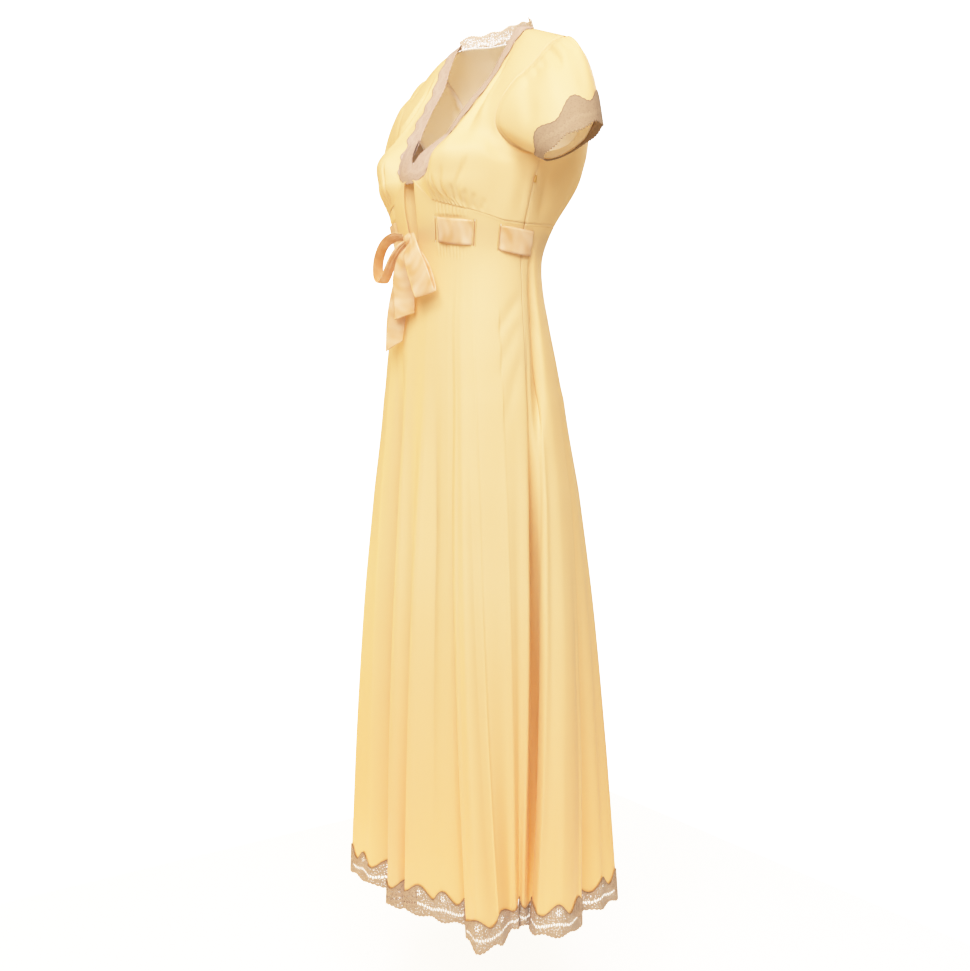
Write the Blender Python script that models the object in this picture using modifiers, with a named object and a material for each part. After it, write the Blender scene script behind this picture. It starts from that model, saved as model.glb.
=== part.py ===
# A silk midi dress with scalloped lace edges and a ribbon belt threaded through slits.
# Metres, +Z up. The front faces -Y and the wearer's left is +X.
# The origin lies midway between the shoulders, at the height of their highest points.
# Tables hold centimetres. The angle of a body section is 0 at the centre front,
# 90 at the wearer's left side and 180 at the centre back.
import math

import bmesh
import bpy
from mathutils import Vector

CM = 0.01

# Thickness of the pieces and the room between them, in centimetres.
SILK_WALL = 0.12
LACE_WALL = 0.10
RIBBON_WALL = 0.10
SEAM_GAP = 0.03
LACE_LIFT = 0.08
BELT_LIFT = 0.05

# Driving sizes, in centimetres.
HEM_LEVEL = -127.6
WAIST_LEVEL = -33.5
RIBBON_WIDTH = 3.5
SLIT_HEIGHT = 3.7
KEYHOLE_COLUMN = 1
SCALLOPS_ROUND_HEM = 32
COLUMNS_A_SCALLOP = 4
COLUMNS = SCALLOPS_ROUND_HEM * COLUMNS_A_SCALLOP
SIDE_COLUMN = 28
BACK_COLUMN = COLUMNS // 2
SHIRR_COLUMNS = (6, 20)
SLIT_COLUMNS = (5, 21, 24, 30)
RIDGE = 0.12

# Body sections of the midriff and skirt: height, half width, depth to front and to back.
SECTIONS = (
    (-18.0, 16.9, 10.2, 17.0),
    (-22.0, 16.4, 10.6, 15.2),
    (-25.0, 15.4, 10.5, 13.6),
    (-28.0, 14.4, 10.1, 12.1),
    (-31.0, 13.6, 9.7, 10.5),
    (-33.5, 13.3, 9.6, 9.6),
    (-37.0, 13.5, 9.9, 9.6),
    (-42.0, 14.1, 10.6, 10.6),
    (-48.0, 15.0, 11.1, 12.0),
    (-54.0, 15.9, 11.5, 13.4),
    (-68.0, 17.7, 12.5, 15.6),
    (-88.0, 19.8, 13.5, 17.5),
    (-108.0, 21.6, 14.0, 18.9),
    (-132.0, 23.4, 14.0, 20.3),
)

# Where the columns of the midriff lie at the waist: column, angle from the centre front.
WAIST_COLUMNS = (
    (0, 0.0),
    (1, 2.7),
    (4, 17.0),
    (5, 19.4),
    (6, 21.2),
    (20, 45.0),
    (21, 48.8),
    (22, 50.6),
    (24, 68.2),
    (25, 70.0),
    (28, 90.0),
    (30, 98.4),
    (31, 100.2),
    (64, 180.0),
)

# Seam under the bust: angle, height.
BUST_SEAM = ((0, -21.6), (2.7, -21.9), (17, -24.8), (50, -26.9), (70, -28.2), (90, -28.6), (180, -28.0))

# Centre line of the ribbon belt: angle, height.
BELT_LINE = ((0, -29.2), (20, -29.1), (50, -29.9), (70, -30.6), (100, -31.3), (180, -31.4))

# Folds at the hem, once round: column, angle at the hem, how far out, how far down.
FOLDS = (
    (0.9, 6, 0.6, 0.0),
    (2.5, 11, -1.4, 0.0),
    (4.2, 12, 1.2, 0.0),
    (8.0, 24, 1.8, 0.0),
    (12.2, 36, 0.2, 0.0),
    (14.2, 41, -0.6, 0.0),
    (16.0, 43, 2.8, 0.6),
    (18.0, 47, 4.8, 1.2),
    (21.2, 56, 2.8, 0.8),
    (24.0, 62, -1.2, 0.2),
    (26.4, 68, -2.8, 0.2),
    (29.4, 75, -2.4, 0.2),
    (31.4, 74, 1.6, 0.5),
    (34.6, 83, 3.4, 0.7),
    (38.6, 96, 2.8, 0.0),
    (42.0, 105, -2.0, 0.0),
    (45.8, 117, 0.8, 0.0),
    (50.4, 128, 1.8, 0.0),
    (55.2, 146, -1.8, 0.0),
    (60.0, 163, 1.8, 0.0),
    (64.8, 180, -1.8, 0.0),
    (70.4, 197, 2.0, 0.0),
    (75.2, 213, -1.8, 0.0),
    (80.8, 230, 2.0, 0.0),
    (85.6, 246, -1.8, 0.0),
    (91.2, 262, 2.0, 0.0),
    (96.8, 276, -2.0, 0.0),
    (101.2, 289, 1.8, 0.0),
    (105.6, 300, -1.4, 1.6),
    (109.4, 310, 0.9, 1.8),
    (114.0, 322, 1.8, 1.4),
    (119.4, 340, 0.8, 1.0),
    (123.6, 354, -2.4, 0.4),
    (126.8, 361, 0.8, 0.4),
)

# Armhole edge of the left side, once round from the shoulder tip by the front: x, y, z.
ARMHOLE = (
    (16.5, 5.2, -3.4),
    (16.0, 3.0, -4.3),
    (15.4, 0.4, -6.4),
    (14.3, -2.5, -9.3),
    (13.4, -4.1, -12.5),
    (13.5, -4.2, -15.4),
    (14.8, -2.2, -17.8),
    (16.8, 1.6, -18.8),
    (16.6, 5.8, -17.4),
    (15.6, 9.0, -14.3),
    (15.2, 10.0, -10.3),
    (15.6, 9.0, -6.9),
    (16.2, 7.0, -4.5),
)
ARMHOLE_CENTRE = Vector((15.2, 2.8, -11.0))
UNDERARM = 7

# Front of the bodice, one row for each armhole point from the shoulder down:
# neck edge x, y, z, a third of the way x, y, z, and two thirds of the way x, y, z.
FRONT_ROWS = (
    (9.4, 5.0, 0.0, 11.77, 5.07, -1.1, 14.13, 5.13, -2.3),
    (9.1, 2.6, -0.7, 11.4, 2.5, -1.8, 13.8, 2.7, -3.1),
    (8.5, -0.2, -3.9, 10.7, -0.5, -4.6, 13.0, -0.2, -5.5),
    (7.6, -2.6, -7.5, 9.7, -2.9, -8.0, 11.9, -2.8, -8.7),
    (6.4, -5.4, -11.1, 8.8, -5.5, -11.5, 11.2, -5.0, -12.0),
    (5.1, -8.0, -14.6, 7.9, -8.4, -15.2, 10.8, -6.5, -15.4),
    (3.9, -9.6, -18.0, 7.3, -11.4, -18.6, 11.6, -8.2, -18.6),
    (2.2, -10.6, -20.6, 7.0, -11.3, -21.9, 12.1, -7.5, -22.2),
)

# Back of the bodice, one row for each armhole point from the underarm up:
# two thirds of the way to the side x, y, z, a third x, y, z, and centre back x, y, z.
BACK_ROWS = (
    (13.6, 10.2, -20.2, 8.0, 14.7, -20.8, 0.0, 16.3, -21.0),
    (12.9, 12.2, -17.4, 7.6, 15.9, -17.4, 0.0, 17.2, -17.2),
    (11.8, 13.8, -13.7, 7.2, 16.2, -13.2, 0.0, 17.4, -13.0),
    (11.0, 13.8, -9.7, 6.8, 15.6, -9.2, 0.0, 16.4, -8.8),
    (10.5, 11.6, -5.5, 6.4, 13.6, -5.2, 0.0, 14.2, -5.0),
    (9.8, 7.9, -1.8, 6.0, 10.9, -1.7, 0.0, 11.8, -1.6),
    (9.4, 5.0, 0.0, 5.4, 8.4, 0.4, 0.0, 9.6, 0.5),
)

# Columns of the bodice, as columns of the midriff below them.
FRONT_COLUMNS = (1, 2, 3, 4, 6, 8, 10, 12, 14, 16, 18, 20, 22, 24, 26, 28)
BACK_COLUMNS = (28, 31, 34, 37, 40, 43, 46, 49, 52, 55, 58, 61, 64)

# Left sleeve: the ring at its cuff, and how far it puffs out along its length.
CUFF_CENTRE = Vector((22.3, 2.15, -17.9))
CUFF_TOP = Vector((2.9, 1.95, 2.3))
CUFF_FRONT = Vector((1.6, -3.4, -0.4))
SLEEVE_STEPS = (0.0, 0.08, 0.2, 0.36, 0.52, 0.66, 0.9, 1.0)
SLEEVE_SILK_ENDS = 0.9
SLEEVE_PUFF = 2.2
SLEEVE_PLEAT = 0.2
SLEEVE_COLUMNS = 26
CUFF_SCALLOPS = 6
NECK_SCALLOPS = 7
NECK_LACE_LIFT = 0.12
CUFF_LACE_LIFT = 0.12

# Ribbon pieces of the bow: x, y, z of the middle, direction across x, y, z, and width.
BOW_LOOP_LEFT = (
    (1.16, -10.9, -30.4, 0.3, 0.0, 1.0, 1.4),
    (2.8, -12.0, -31.4, 0.7, 0.2, 0.7, 2.8),
    (3.8, -12.7, -34.4, 0.9, 0.25, 0.3, 3.5),
    (4.6, -12.5, -37.0, 0.95, 0.3, 0.2, 3.5),
    (4.9, -11.8, -38.0, 0.95, 0.3, 0.2, 3.5),
    (4.7, -11.1, -37.2, 0.95, 0.3, 0.2, 3.5),
    (3.7, -10.9, -34.4, 0.9, 0.25, 0.3, 3.5),
    (2.5, -10.8, -32.2, 0.7, 0.2, 0.7, 2.4),
    (1.14, -10.5, -31.1, 0.5, 0.0, 0.9, 1.2),
)
BOW_LOOP_RIGHT = (
    (-1.3, -10.75, -30.3, 0.1, -0.5, 0.9, 1.2),
    (-3.2, -11.3, -30.4, 0.3, -0.9, 0.5, 2.2),
    (-5.6, -11.7, -31.9, 0.4, -0.9, 0.2, 3.0),
    (-6.7, -11.8, -34.2, 0.4, -0.9, 0.0, 3.3),
    (-5.9, -11.7, -36.1, 0.4, -0.9, 0.0, 3.4),
    (-4.3, -11.5, -36.0, 0.4, -0.9, 0.1, 3.3),
    (-3.0, -11.3, -34.0, 0.4, -0.8, 0.3, 2.4),
    (-2.0, -11.0, -32.0, 0.2, -0.6, 0.5, 1.6),
    (-1.12, -10.6, -31.1, 0.1, -0.5, 0.8, 1.0),
)
BOW_TAIL_LEFT = (
    (0.4, -10.89, -31.37, 1.0, 0.1, 0.0, 1.3),
    (0.3, -11.6, -33.0, 0.9, 0.4, 0.0, 2.6),
    (0.2, -11.8, -36.0, 0.85, 0.5, 0.0, 3.5),
    (0.5, -11.9, -39.0, 0.85, 0.5, 0.0, 3.5),
    (0.8, -12.0, -41.6, 0.85, 0.5, 0.3, 3.5),
)
BOW_TAIL_RIGHT = (
    (-0.5, -10.5, -31.5, 1.0, 0.0, 0.0, 0.9),
    (-1.2, -10.8, -34.0, 0.9, 0.25, 0.0, 2.2),
    (-1.8, -11.2, -38.0, 0.9, 0.35, 0.0, 3.2),
    (-2.2, -11.6, -42.0, 0.9, 0.35, 0.0, 3.5),
    (-2.4, -11.9, -46.0, 0.9, 0.35, 0.5, 3.5),
)
KNOT_CENTRE = (0.0, -10.47, -30.6)
KNOT_HALF = (1.25, 0.85, 0.85)

# Zip in the wearer's left side seam: its ends and the half width of its tape.
ZIP_TOP = -21.9
ZIP_FOOT = -49.6
ZIP_HALF_WIDTH = 0.7
ZIP_STEPS = 12
ZIP_ROOM = 0.28
SLIDER_SIZE = (0.22, 0.34, 1.0)

COLOURS = {
    "silk": ("F9DDAD", 0.5),
    "lace": ("D9BC9D", 0.75),
    "ribbon": ("F4CB93", 0.35),
    "zip": ("E4B26C", 0.6),
}


def linear(code, shift):
    """Linear colour of an sRGB hex code, a little lighter or darker by shift."""
    values = []
    for start in (0, 2, 4):
        value = min(1.0, int(code[start:start + 2], 16) / 255 * shift)
        values.append(value / 12.92 if value <= 0.04045 else ((value + 0.055) / 1.055) ** 2.4)
    return (*values, 1.0)


def table_value(table, key, column):
    """Value of a table's column at key, straight between rows."""
    if key <= table[0][0]:
        return table[0][column]
    for low, high in zip(table, table[1:]):
        if key <= high[0]:
            share = (key - low[0]) / (high[0] - low[0])
            return low[column] + (high[column] - low[column]) * share
    return table[-1][column]


def spline(points, at):
    """Point on a smooth curve through the points; at counts them from 0."""
    index = max(0, min(int(at), len(points) - 2))
    share = at - index
    here = points[index]
    after = points[index + 1]
    before = points[index - 1] if index else here * 2 - after
    last = points[index + 2] if index + 2 < len(points) else after * 2 - here
    slope_in = (after - before) / 2
    slope_out = (last - here) / 2
    return (
        here * (2 * share**3 - 3 * share**2 + 1)
        + slope_in * (share**3 - 2 * share**2 + share)
        + after * (3 * share**2 - 2 * share**3)
        + slope_out * (share**3 - share**2)
    )


def smooth_section(height, column):
    """A section's size at a height, on a smooth curve through the table."""
    rows = [Vector((row[0], row[column], 0)) for row in SECTIONS]
    for index in range(len(rows) - 1):
        if height >= rows[index + 1].x or index == len(rows) - 2:
            share = (rows[index].x - height) / (rows[index].x - rows[index + 1].x)
            return spline(rows, index + min(max(share, 0.0), 1.0)).y
    return rows[-1].y


def half_column(column):
    """Column counted from the centre front on its own side, and that side's sign."""
    column = column % COLUMNS
    if column > BACK_COLUMN:
        return COLUMNS - column, -1
    return column, 1


def waist_angle(column):
    """Angle at the waist of a column that counts once round."""
    own, side = half_column(column)
    angle = table_value(WAIST_COLUMNS, own, 1)
    return angle if side > 0 else 360 - angle


def fold_at(column):
    """Angle at the hem, how far out and how far down, for a column."""
    column = column % COLUMNS
    first = FOLDS[0]
    last = FOLDS[-1]
    rows = ((last[0] - COLUMNS, last[1] - 360, last[2], last[3]),) + FOLDS
    rows = rows + ((first[0] + COLUMNS, first[1] + 360, first[2], first[3]),)
    for low, high in zip(rows, rows[1:]):
        if column <= high[0]:
            break
    share = (column - low[0]) / (high[0] - low[0])
    soft = share * share * (3 - 2 * share)
    angle = low[1] + (high[1] - low[1]) * share
    return angle, low[2] + (high[2] - low[2]) * soft, low[3] + (high[3] - low[3]) * soft


def body_point(column, height):
    """Point of the midriff and skirt on a column at a height."""
    growth = max(0.0, (WAIST_LEVEL - height) / (WAIST_LEVEL - HEM_LEVEL)) ** 1.35
    hem_angle, out, drop = fold_at(column)
    start = waist_angle(column)
    turn = (hem_angle - start + 180) % 360 - 180
    angle = math.radians(start + turn * growth)
    half_width = smooth_section(height, 1) + out * growth
    depth = smooth_section(height, 2 if math.cos(angle) > 0 else 3) + out * growth
    return Vector((half_width * math.sin(angle), -depth * math.cos(angle), height - drop * growth))


def mirrored_angle(column):
    """Angle from the centre front on either side, for the tables of heights."""
    return table_value(WAIST_COLUMNS, half_column(column)[0], 1)


def seam_height(column):
    return table_value(BUST_SEAM, mirrored_angle(column), 1)


def belt_height(column):
    return table_value(BELT_LINE, mirrored_angle(column), 1)


def scallop(column, columns_each):
    """0 in the valley between two scallops and 1 at a peak."""
    return 0.5 - 0.5 * math.cos(2 * math.pi * column / columns_each)


def skirt_rows(column):
    """Heights of the rows of the midriff and skirt on a column, from the hem up."""
    slit_top = belt_height(column) + SLIT_HEIGHT / 2
    slit_foot = slit_top - SLIT_HEIGHT
    seam = seam_height(column) - SEAM_GAP
    silk_hem = HEM_LEVEL + 1.6 * scallop(column, COLUMNS_A_SCALLOP)
    long_rows = (-121.5, -107.0, -90.0, -73.0, -57.0, -44.0)
    return (
        silk_hem,
        *long_rows,
        slit_foot - 2.4,
        slit_foot - 1.0,
        slit_foot,
        slit_top,
        slit_top + (seam - slit_top) * 0.55,
        seam,
    )


SLIT_ROW = 9
UPPER_SHIRR_ROW = 11
LOWER_SHIRR_ROW = 8
SEAM_ROW = 12


def sideways(column):
    """Level direction from the middle of the body out to a column at the waist."""
    angle = math.radians(waist_angle(column))
    return Vector((math.sin(angle), -math.cos(angle), 0))


def level_out(point):
    """Level direction from the axis of the body out to a point."""
    return Vector((point.x, point.y, 0)).normalized()


def material_for(name, kind):
    """Each piece has a material of its own, told apart by a slight shift in tone."""
    code, roughness = COLOURS[kind]
    shift = 0.94 + 0.12 * (sum(map(ord, name)) % 7) / 6
    material = bpy.data.materials.new(f"{name}_{kind}")
    material.use_nodes = True
    shader = material.node_tree.nodes["Principled BSDF"]
    shader.inputs["Base Color"].default_value = linear(code, shift)
    shader.inputs["Roughness"].default_value = roughness
    material.diffuse_color = linear(code, shift)
    return material


def cloth(name, kind, grid, wall, keep=None, raised=None, seam_in=None, outward=False):
    """A cloth wall over a grid of points: rows from the bottom up, columns to the right
    as seen from outside. keep drops faces, raised lifts outer points, and seam_in gives
    the direction of the wall along an edge that meets another piece."""
    columns = len(grid[0]) - 1
    rows = len(grid) - 1
    sheet = bmesh.new()
    bmesh.ops.create_grid(sheet, x_segments=columns, y_segments=rows, size=0.5)
    places = {}
    for vert in sheet.verts:
        column = round((vert.co.x + 0.5) * columns)
        row = round((vert.co.y + 0.5) * rows)
        places[vert] = (row, column)
        vert.co = grid[row][column] * CM
    if keep:
        dropped = []
        for face in sheet.faces:
            corners = [places[vert] for vert in face.verts]
            if not keep(min(row for row, _ in corners), min(column for _, column in corners)):
                dropped.append(face)
        bmesh.ops.delete(sheet, geom=dropped, context="FACES")
    closed = (grid[0][0] - grid[0][-1]).length < 0.001
    if closed:
        bmesh.ops.remove_doubles(sheet, verts=sheet.verts[:], dist=0.00001)
    order = [places[vert] for vert in sheet.verts]
    mesh = bpy.data.meshes.new(name)
    sheet.to_mesh(mesh)
    sheet.free()
    piece = bpy.data.objects.new(name, mesh)
    parts.objects.link(piece)
    solid = piece.modifiers.new("Wall", "SOLIDIFY")
    solid.thickness = wall * CM
    solid.offset = 1 if outward else -1
    solid.use_quality_normals = True
    shaped = bpy.data.meshes.new_from_object(piece.evaluated_get(bpy.context.evaluated_depsgraph_get()))
    piece.modifiers.clear()
    piece.data = shaped
    bpy.data.meshes.remove(mesh)
    shaped.name = name
    count = len(order)
    for index, (row, column) in enumerate(order):
        outer = shaped.vertices[index]
        inner = shaped.vertices[index + count]
        direction = seam_in(row, column) if seam_in else None
        if direction:
            inner.co = outer.co + direction * wall * CM * (1 if outward else -1)
        lift = raised(row, column) if raised else 0
        if lift:
            outer.co += (outer.co - inner.co).normalized() * lift * CM
    shaped.materials.clear()
    shaped.materials.append(material_for(name, kind))
    shaped.shade_smooth()
    shaped.set_sharp_from_angle(angle=math.radians(50))
    return piece


def mirror_grid(grid):
    """The same grid on the wearer's other side, still from left to right."""
    return [[Vector((-point.x, point.y, point.z)) for point in reversed(row)] for row in grid]


def pulled(points, end, gap):
    """Points of a row with one end pulled back along the row by half a seam gap."""
    points = list(points)
    near = points[1] if end == 0 else points[-2]
    place = points[0] if end == 0 else points[-1]
    moved = place + (near - place).normalized() * gap / 2
    points[0 if end == 0 else -1] = moved
    return points


def skirt_panel(name, first, last):
    """Midriff and skirt from one side seam to the other, cut in one."""
    columns = range(first, last + 1)
    heights = [skirt_rows(column) for column in columns]
    grid = []
    for row in range(SEAM_ROW + 1):
        line = [body_point(column, heights[index][row]) for index, column in enumerate(columns)]
        line = pulled(pulled(line, 0, SEAM_GAP), -1, SEAM_GAP)
        grid.append(line)

    def keep(row, column):
        own, side = half_column(first + column + 0.5)
        own = int(own)
        if row == SLIT_ROW and own in SLIT_COLUMNS:
            return False
        return not (own < KEYHOLE_COLUMN and row >= SLIT_ROW)

    def raised(row, column):
        own = half_column(first + column)[0]
        if row not in (UPPER_SHIRR_ROW, LOWER_SHIRR_ROW):
            return 0
        inside = SHIRR_COLUMNS[0] < own < SHIRR_COLUMNS[1]
        return RIDGE if inside and own % 2 else 0

    def seam_in(row, column):
        if row == SEAM_ROW or column in (0, last - first):
            return level_out(grid[row][column])
        return None

    return cloth(name, "silk", grid, SILK_WALL, keep, raised, seam_in)


def front_grid():
    """Left front of the bodice: rows from the seam under the bust up to the shoulder."""
    angles = [waist_angle(column) for column in FRONT_COLUMNS]
    shares = [(angle - angles[0]) / (angles[-1] - angles[0]) for angle in angles]
    seam = [body_point(column, seam_height(column) + SEAM_GAP) for column in FRONT_COLUMNS]
    grid = [pulled(seam, -1, SEAM_GAP)]
    for index in range(UNDERARM, -1, -1):
        row = FRONT_ROWS[index]
        points = [Vector(row[start:start + 3]) for start in (0, 3, 6)] + [Vector(ARMHOLE[index])]
        grid.append([spline(points, share * 3) for share in shares])
    underarm_row = grid[1]
    underarm_row[-1] = underarm_row[-1] + Vector((0, -SEAM_GAP / 2, 0))
    grid[-1] = [point + Vector((0, -SEAM_GAP / 2, 0)) for point in grid[-1]]
    return grid


def front_panel(name, side):
    """Front of the bodice, gathered above the seam under the bust."""
    grid = front_grid()
    last = len(grid[0]) - 1
    if side < 0:
        grid = mirror_grid(grid)

    def own(column):
        return column if side > 0 else last - column

    def raised(row, column):
        gathered = SHIRR_COLUMNS[0] <= FRONT_COLUMNS[own(column)] <= SHIRR_COLUMNS[1]
        if gathered and own(column) % 2 and row == 1:
            return RIDGE
        return 0

    def seam_in(row, column):
        if row == 0:
            return level_out(grid[row][column])
        if row == len(grid) - 1:
            return Vector((0, 0, 1))
        if row == 1 and own(column) == last:
            return Vector((side, 0, 0))
        return None

    return cloth(name, "silk", grid, SILK_WALL, None, raised, seam_in)


def back_grid():
    """Back of the bodice from side to side: rows from the seam up to the neck."""
    angles = [waist_angle(column) for column in BACK_COLUMNS]
    shares = [(angle - 90) / 90 for angle in angles]
    seam = [body_point(column, seam_height(column) + SEAM_GAP) for column in BACK_COLUMNS]
    halves = [pulled(seam, 0, SEAM_GAP)]
    for index, row in enumerate(BACK_ROWS):
        arm = ARMHOLE[(UNDERARM + index) % len(ARMHOLE)]
        points = [Vector(arm)] + [Vector(row[start:start + 3]) for start in (0, 3, 6)]
        if index == len(BACK_ROWS) - 1:
            shoulder = [points[0].lerp(points[1], share * 3) for share in shares if share < 1 / 3]
            neck = [spline(points, share * 3) for share in shares if share >= 1 / 3]
            halves.append([point + Vector((0, SEAM_GAP / 2, 0)) for point in shoulder + neck])
        else:
            halves.append([spline(points, share * 3) for share in shares])
    halves[1][0] = halves[1][0] + Vector((0, SEAM_GAP / 2, 0))
    return [half + [Vector((-p.x, p.y, p.z)) for p in reversed(half[:-1])] for half in halves]


def back_panel():
    """Back of the bodice in one piece."""
    grid = back_grid()
    last = len(grid[0]) - 1

    def seam_in(row, column):
        if row == 0:
            return level_out(grid[row][column])
        if row == len(grid) - 1:
            return Vector((0, 0, 1))
        if row == 1 and column in (0, last):
            return Vector((1 if column == 0 else -1, 0, 0))
        return None

    return cloth("bodice_back", "silk", grid, SILK_WALL, None, None, seam_in)


def armhole_point(share):
    """Point of the armhole edge once round from the shoulder tip, straight between rows."""
    at = share * len(ARMHOLE)
    low = Vector(ARMHOLE[int(at) % len(ARMHOLE)])
    high = Vector(ARMHOLE[(int(at) + 1) % len(ARMHOLE)])
    return low.lerp(high, at - int(at))


def sleeve_point(share, step):
    """Point of the left sleeve: share once round from the top, step from armhole to cuff."""
    turn = 2 * math.pi * share
    start = armhole_point(share) + Vector((SEAM_GAP * 1.5, 0, 0))
    cuff = CUFF_CENTRE + CUFF_TOP * math.cos(turn) + CUFF_FRONT * math.sin(turn)
    puff = SLEEVE_PUFF * math.sin(math.pi * step**0.6)
    top = max(0.0, 0.35 + 0.65 * math.cos(turn))
    across = math.sin(turn)
    away = Vector((0.55 * top, -0.35 * across - 0.1 * top, top)) * puff
    pleat = SLEEVE_PLEAT * math.sin(math.pi * min(1.0, step * 2.4)) * max(0.0, math.cos(turn))
    ripple = pleat * math.cos(math.pi * round(share * SLEEVE_COLUMNS))
    return start.lerp(cuff, step) + away + Vector((0.6, -0.5 * across, 0.8)) * ripple


def sleeve_line(step):
    """Row of the sleeve at a step; between the sleeve's own rows it is straight."""
    for low, high in zip(SLEEVE_STEPS, SLEEVE_STEPS[1:]):
        if step <= high:
            break
    share = (step - low) / (high - low)
    turns = [index / SLEEVE_COLUMNS for index in range(SLEEVE_COLUMNS)]
    line = [sleeve_point(turn, low).lerp(sleeve_point(turn, high), share) for turn in turns]
    return line + [line[0]]


def sleeve(name, side):
    """Short sleeve, pleated into the top of the armhole."""
    grid = [sleeve_line(step) for step in SLEEVE_STEPS if step <= SLEEVE_SILK_ENDS]
    if side < 0:
        grid = mirror_grid(grid)
    centre = Vector((ARMHOLE_CENTRE.x * side, ARMHOLE_CENTRE.y, ARMHOLE_CENTRE.z))

    def seam_in(row, column):
        if row:
            return None
        away = grid[row][column] - centre
        return Vector((0, away.y, away.z)).normalized()

    cloth(name, "silk", grid, SILK_WALL, None, None, seam_in)


def moved_out(grid, distance):
    """Grid of points moved out along the surface's own directions."""
    result = []
    columns = len(grid[0])
    closed = (grid[0][0] - grid[0][-1]).length < 0.001
    for row, line in enumerate(grid):
        moved = []
        for column, point in enumerate(line):
            left = line[column - 1] if column else (line[-2] if closed else point)
            right = line[column + 1] if column < columns - 1 else (line[1] if closed else point)
            below = grid[max(row - 1, 0)][column]
            above = grid[min(row + 1, len(grid) - 1)][column]
            moved.append(point + (right - left).cross(above - below).normalized() * distance)
        result.append(moved)
    return result


def cuff_lace(name, side):
    """Lace over the end of the sleeve, with a wavy upper edge."""
    lines = [[], sleeve_line(SLEEVE_SILK_ENDS), sleeve_line(1.0)]
    for index in range(SLEEVE_COLUMNS + 1):
        wave = scallop(index * CUFF_SCALLOPS / SLEEVE_COLUMNS, 1)
        lines[0].append(sleeve_line(0.8 - 0.13 * wave)[index])
    lines[0][-1] = lines[0][0]
    grid = moved_out(lines, CUFF_LACE_LIFT)
    if side < 0:
        grid = mirror_grid(grid)
    cloth(name, "lace", grid, LACE_WALL, outward=True)


def along_row(points, distance):
    """Point a distance along a row of points from its first one, or before it."""
    for here, after in zip(points, points[1:]):
        length = (after - here).length
        if distance <= length or after is points[-1]:
            return here + (after - here) * distance / length
        distance -= length
    return points[-1]


def neck_lace_front(name, side):
    """Lace along the left or right edge of the V neck, partly over the silk."""
    silk = front_grid()[1:]
    steps = NECK_SCALLOPS * COLUMNS_A_SCALLOP
    lines = []
    for free_edge in (True, None, False):
        line = []
        for index in range(steps + 1):
            at = (len(silk) - 1) * index / steps
            low = min(int(at), len(silk) - 2)
            wide = 1.3 - 0.9 * index / steps
            distance = 0.5 + wide * scallop(index, COLUMNS_A_SCALLOP)
            if free_edge:
                distance = -1.6 + 0.2 * scallop(index, COLUMNS_A_SCALLOP)
            elif free_edge is None:
                distance = 0.0
            below = along_row(silk[low], distance)
            above = along_row(silk[low + 1], distance)
            line.append(below.lerp(above, at - low))
        lines.append(line)
    grid = [list(column) for column in zip(*lines)]
    grid = moved_out(grid, NECK_LACE_LIFT)
    if side < 0:
        grid = mirror_grid(grid)
    cloth(name, "lace", grid, LACE_WALL, outward=True)


def neck_lace_back():
    """Lace that stands up round the back of the neck."""
    top = back_grid()[-1]
    reach = [index for index, point in enumerate(top) if abs(point.x) < 9.5]
    edge = top[reach[0]:reach[-1] + 1]
    steps = 24
    lines = [[], [], []]
    for index in range(steps + 1):
        at = (len(edge) - 1) * index / steps
        base = spline(edge, at)
        centre = 1 - abs(index - steps / 2) / (steps / 2)
        up = Vector((-base.x * 0.03, -0.25, 1.0)).normalized()
        height = 1.3 + 1.0 * centre + 0.3 * scallop(index, 4)
        lines[0].append(base + up * 0.05)
        lines[1].append(base + up * (0.05 + height * 0.4))
        lines[2].append(base + up * (0.05 + height))
    cloth("lace_neck_back", "lace", lines, LACE_WALL, neck_gap)


def neck_gap(row, column):
    """The standing lace is open above its foot, between its bars."""
    return not (row == 1 and column % 4 in (1, 2))


def hem_lace(name, first, last):
    """Scalloped lace at the hem, just over the silk, with an open arc in each scallop."""
    lines = []
    for depth in (0.0, 0.3, 0.68, 1.0):
        line = []
        for column in range(first, last + 1):
            wave = scallop(column, COLUMNS_A_SCALLOP)
            top = HEM_LEVEL + 1.6 * wave + 0.4
            foot = HEM_LEVEL - 2.2 - 0.5 * wave
            line.append(body_point(column, foot + (top - foot) * depth))
        line = pulled(pulled(line, 0, SEAM_GAP), -1, SEAM_GAP)
        lines.append(line)
    grid = moved_out(lines, LACE_LIFT)
    for row, line in enumerate(lines):
        for column in (0, -1):
            grid[row][column] = line[column] + level_out(line[column]) * LACE_LIFT

    def keep(row, column):
        return not (row == 1 and (first + column) % COLUMNS_A_SCALLOP in (1, 2))

    def seam_in(row, column):
        return level_out(grid[row][column]) if column in (0, last - first) else None

    cloth(name, "lace", grid, LACE_WALL, keep, None, seam_in, outward=True)


def belt():
    """Ribbon belt, in and out through the slits, with its ends inside the keyhole."""
    lines = [[], []]
    ends = KEYHOLE_COLUMN + 1
    for column in range(ends, COLUMNS - ends + 1):
        own = half_column(column)[0]
        over = SLIT_COLUMNS[0] < own <= SLIT_COLUMNS[1] or SLIT_COLUMNS[2] < own <= SLIT_COLUMNS[3]
        offset = BELT_LIFT + RIBBON_WALL if over else -SILK_WALL - BELT_LIFT
        rows = skirt_rows(column)
        foot = body_point(column, rows[SLIT_ROW])
        top = body_point(column, rows[SLIT_ROW + 1])
        share = (SLIT_HEIGHT - RIBBON_WIDTH) / 2 / SLIT_HEIGHT
        away = sideways(column) * offset
        lines[0].append(foot.lerp(top, share) + away)
        lines[1].append(foot.lerp(top, 1 - share) + away)
    cloth("ribbon_belt", "ribbon", lines, RIBBON_WALL)


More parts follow.
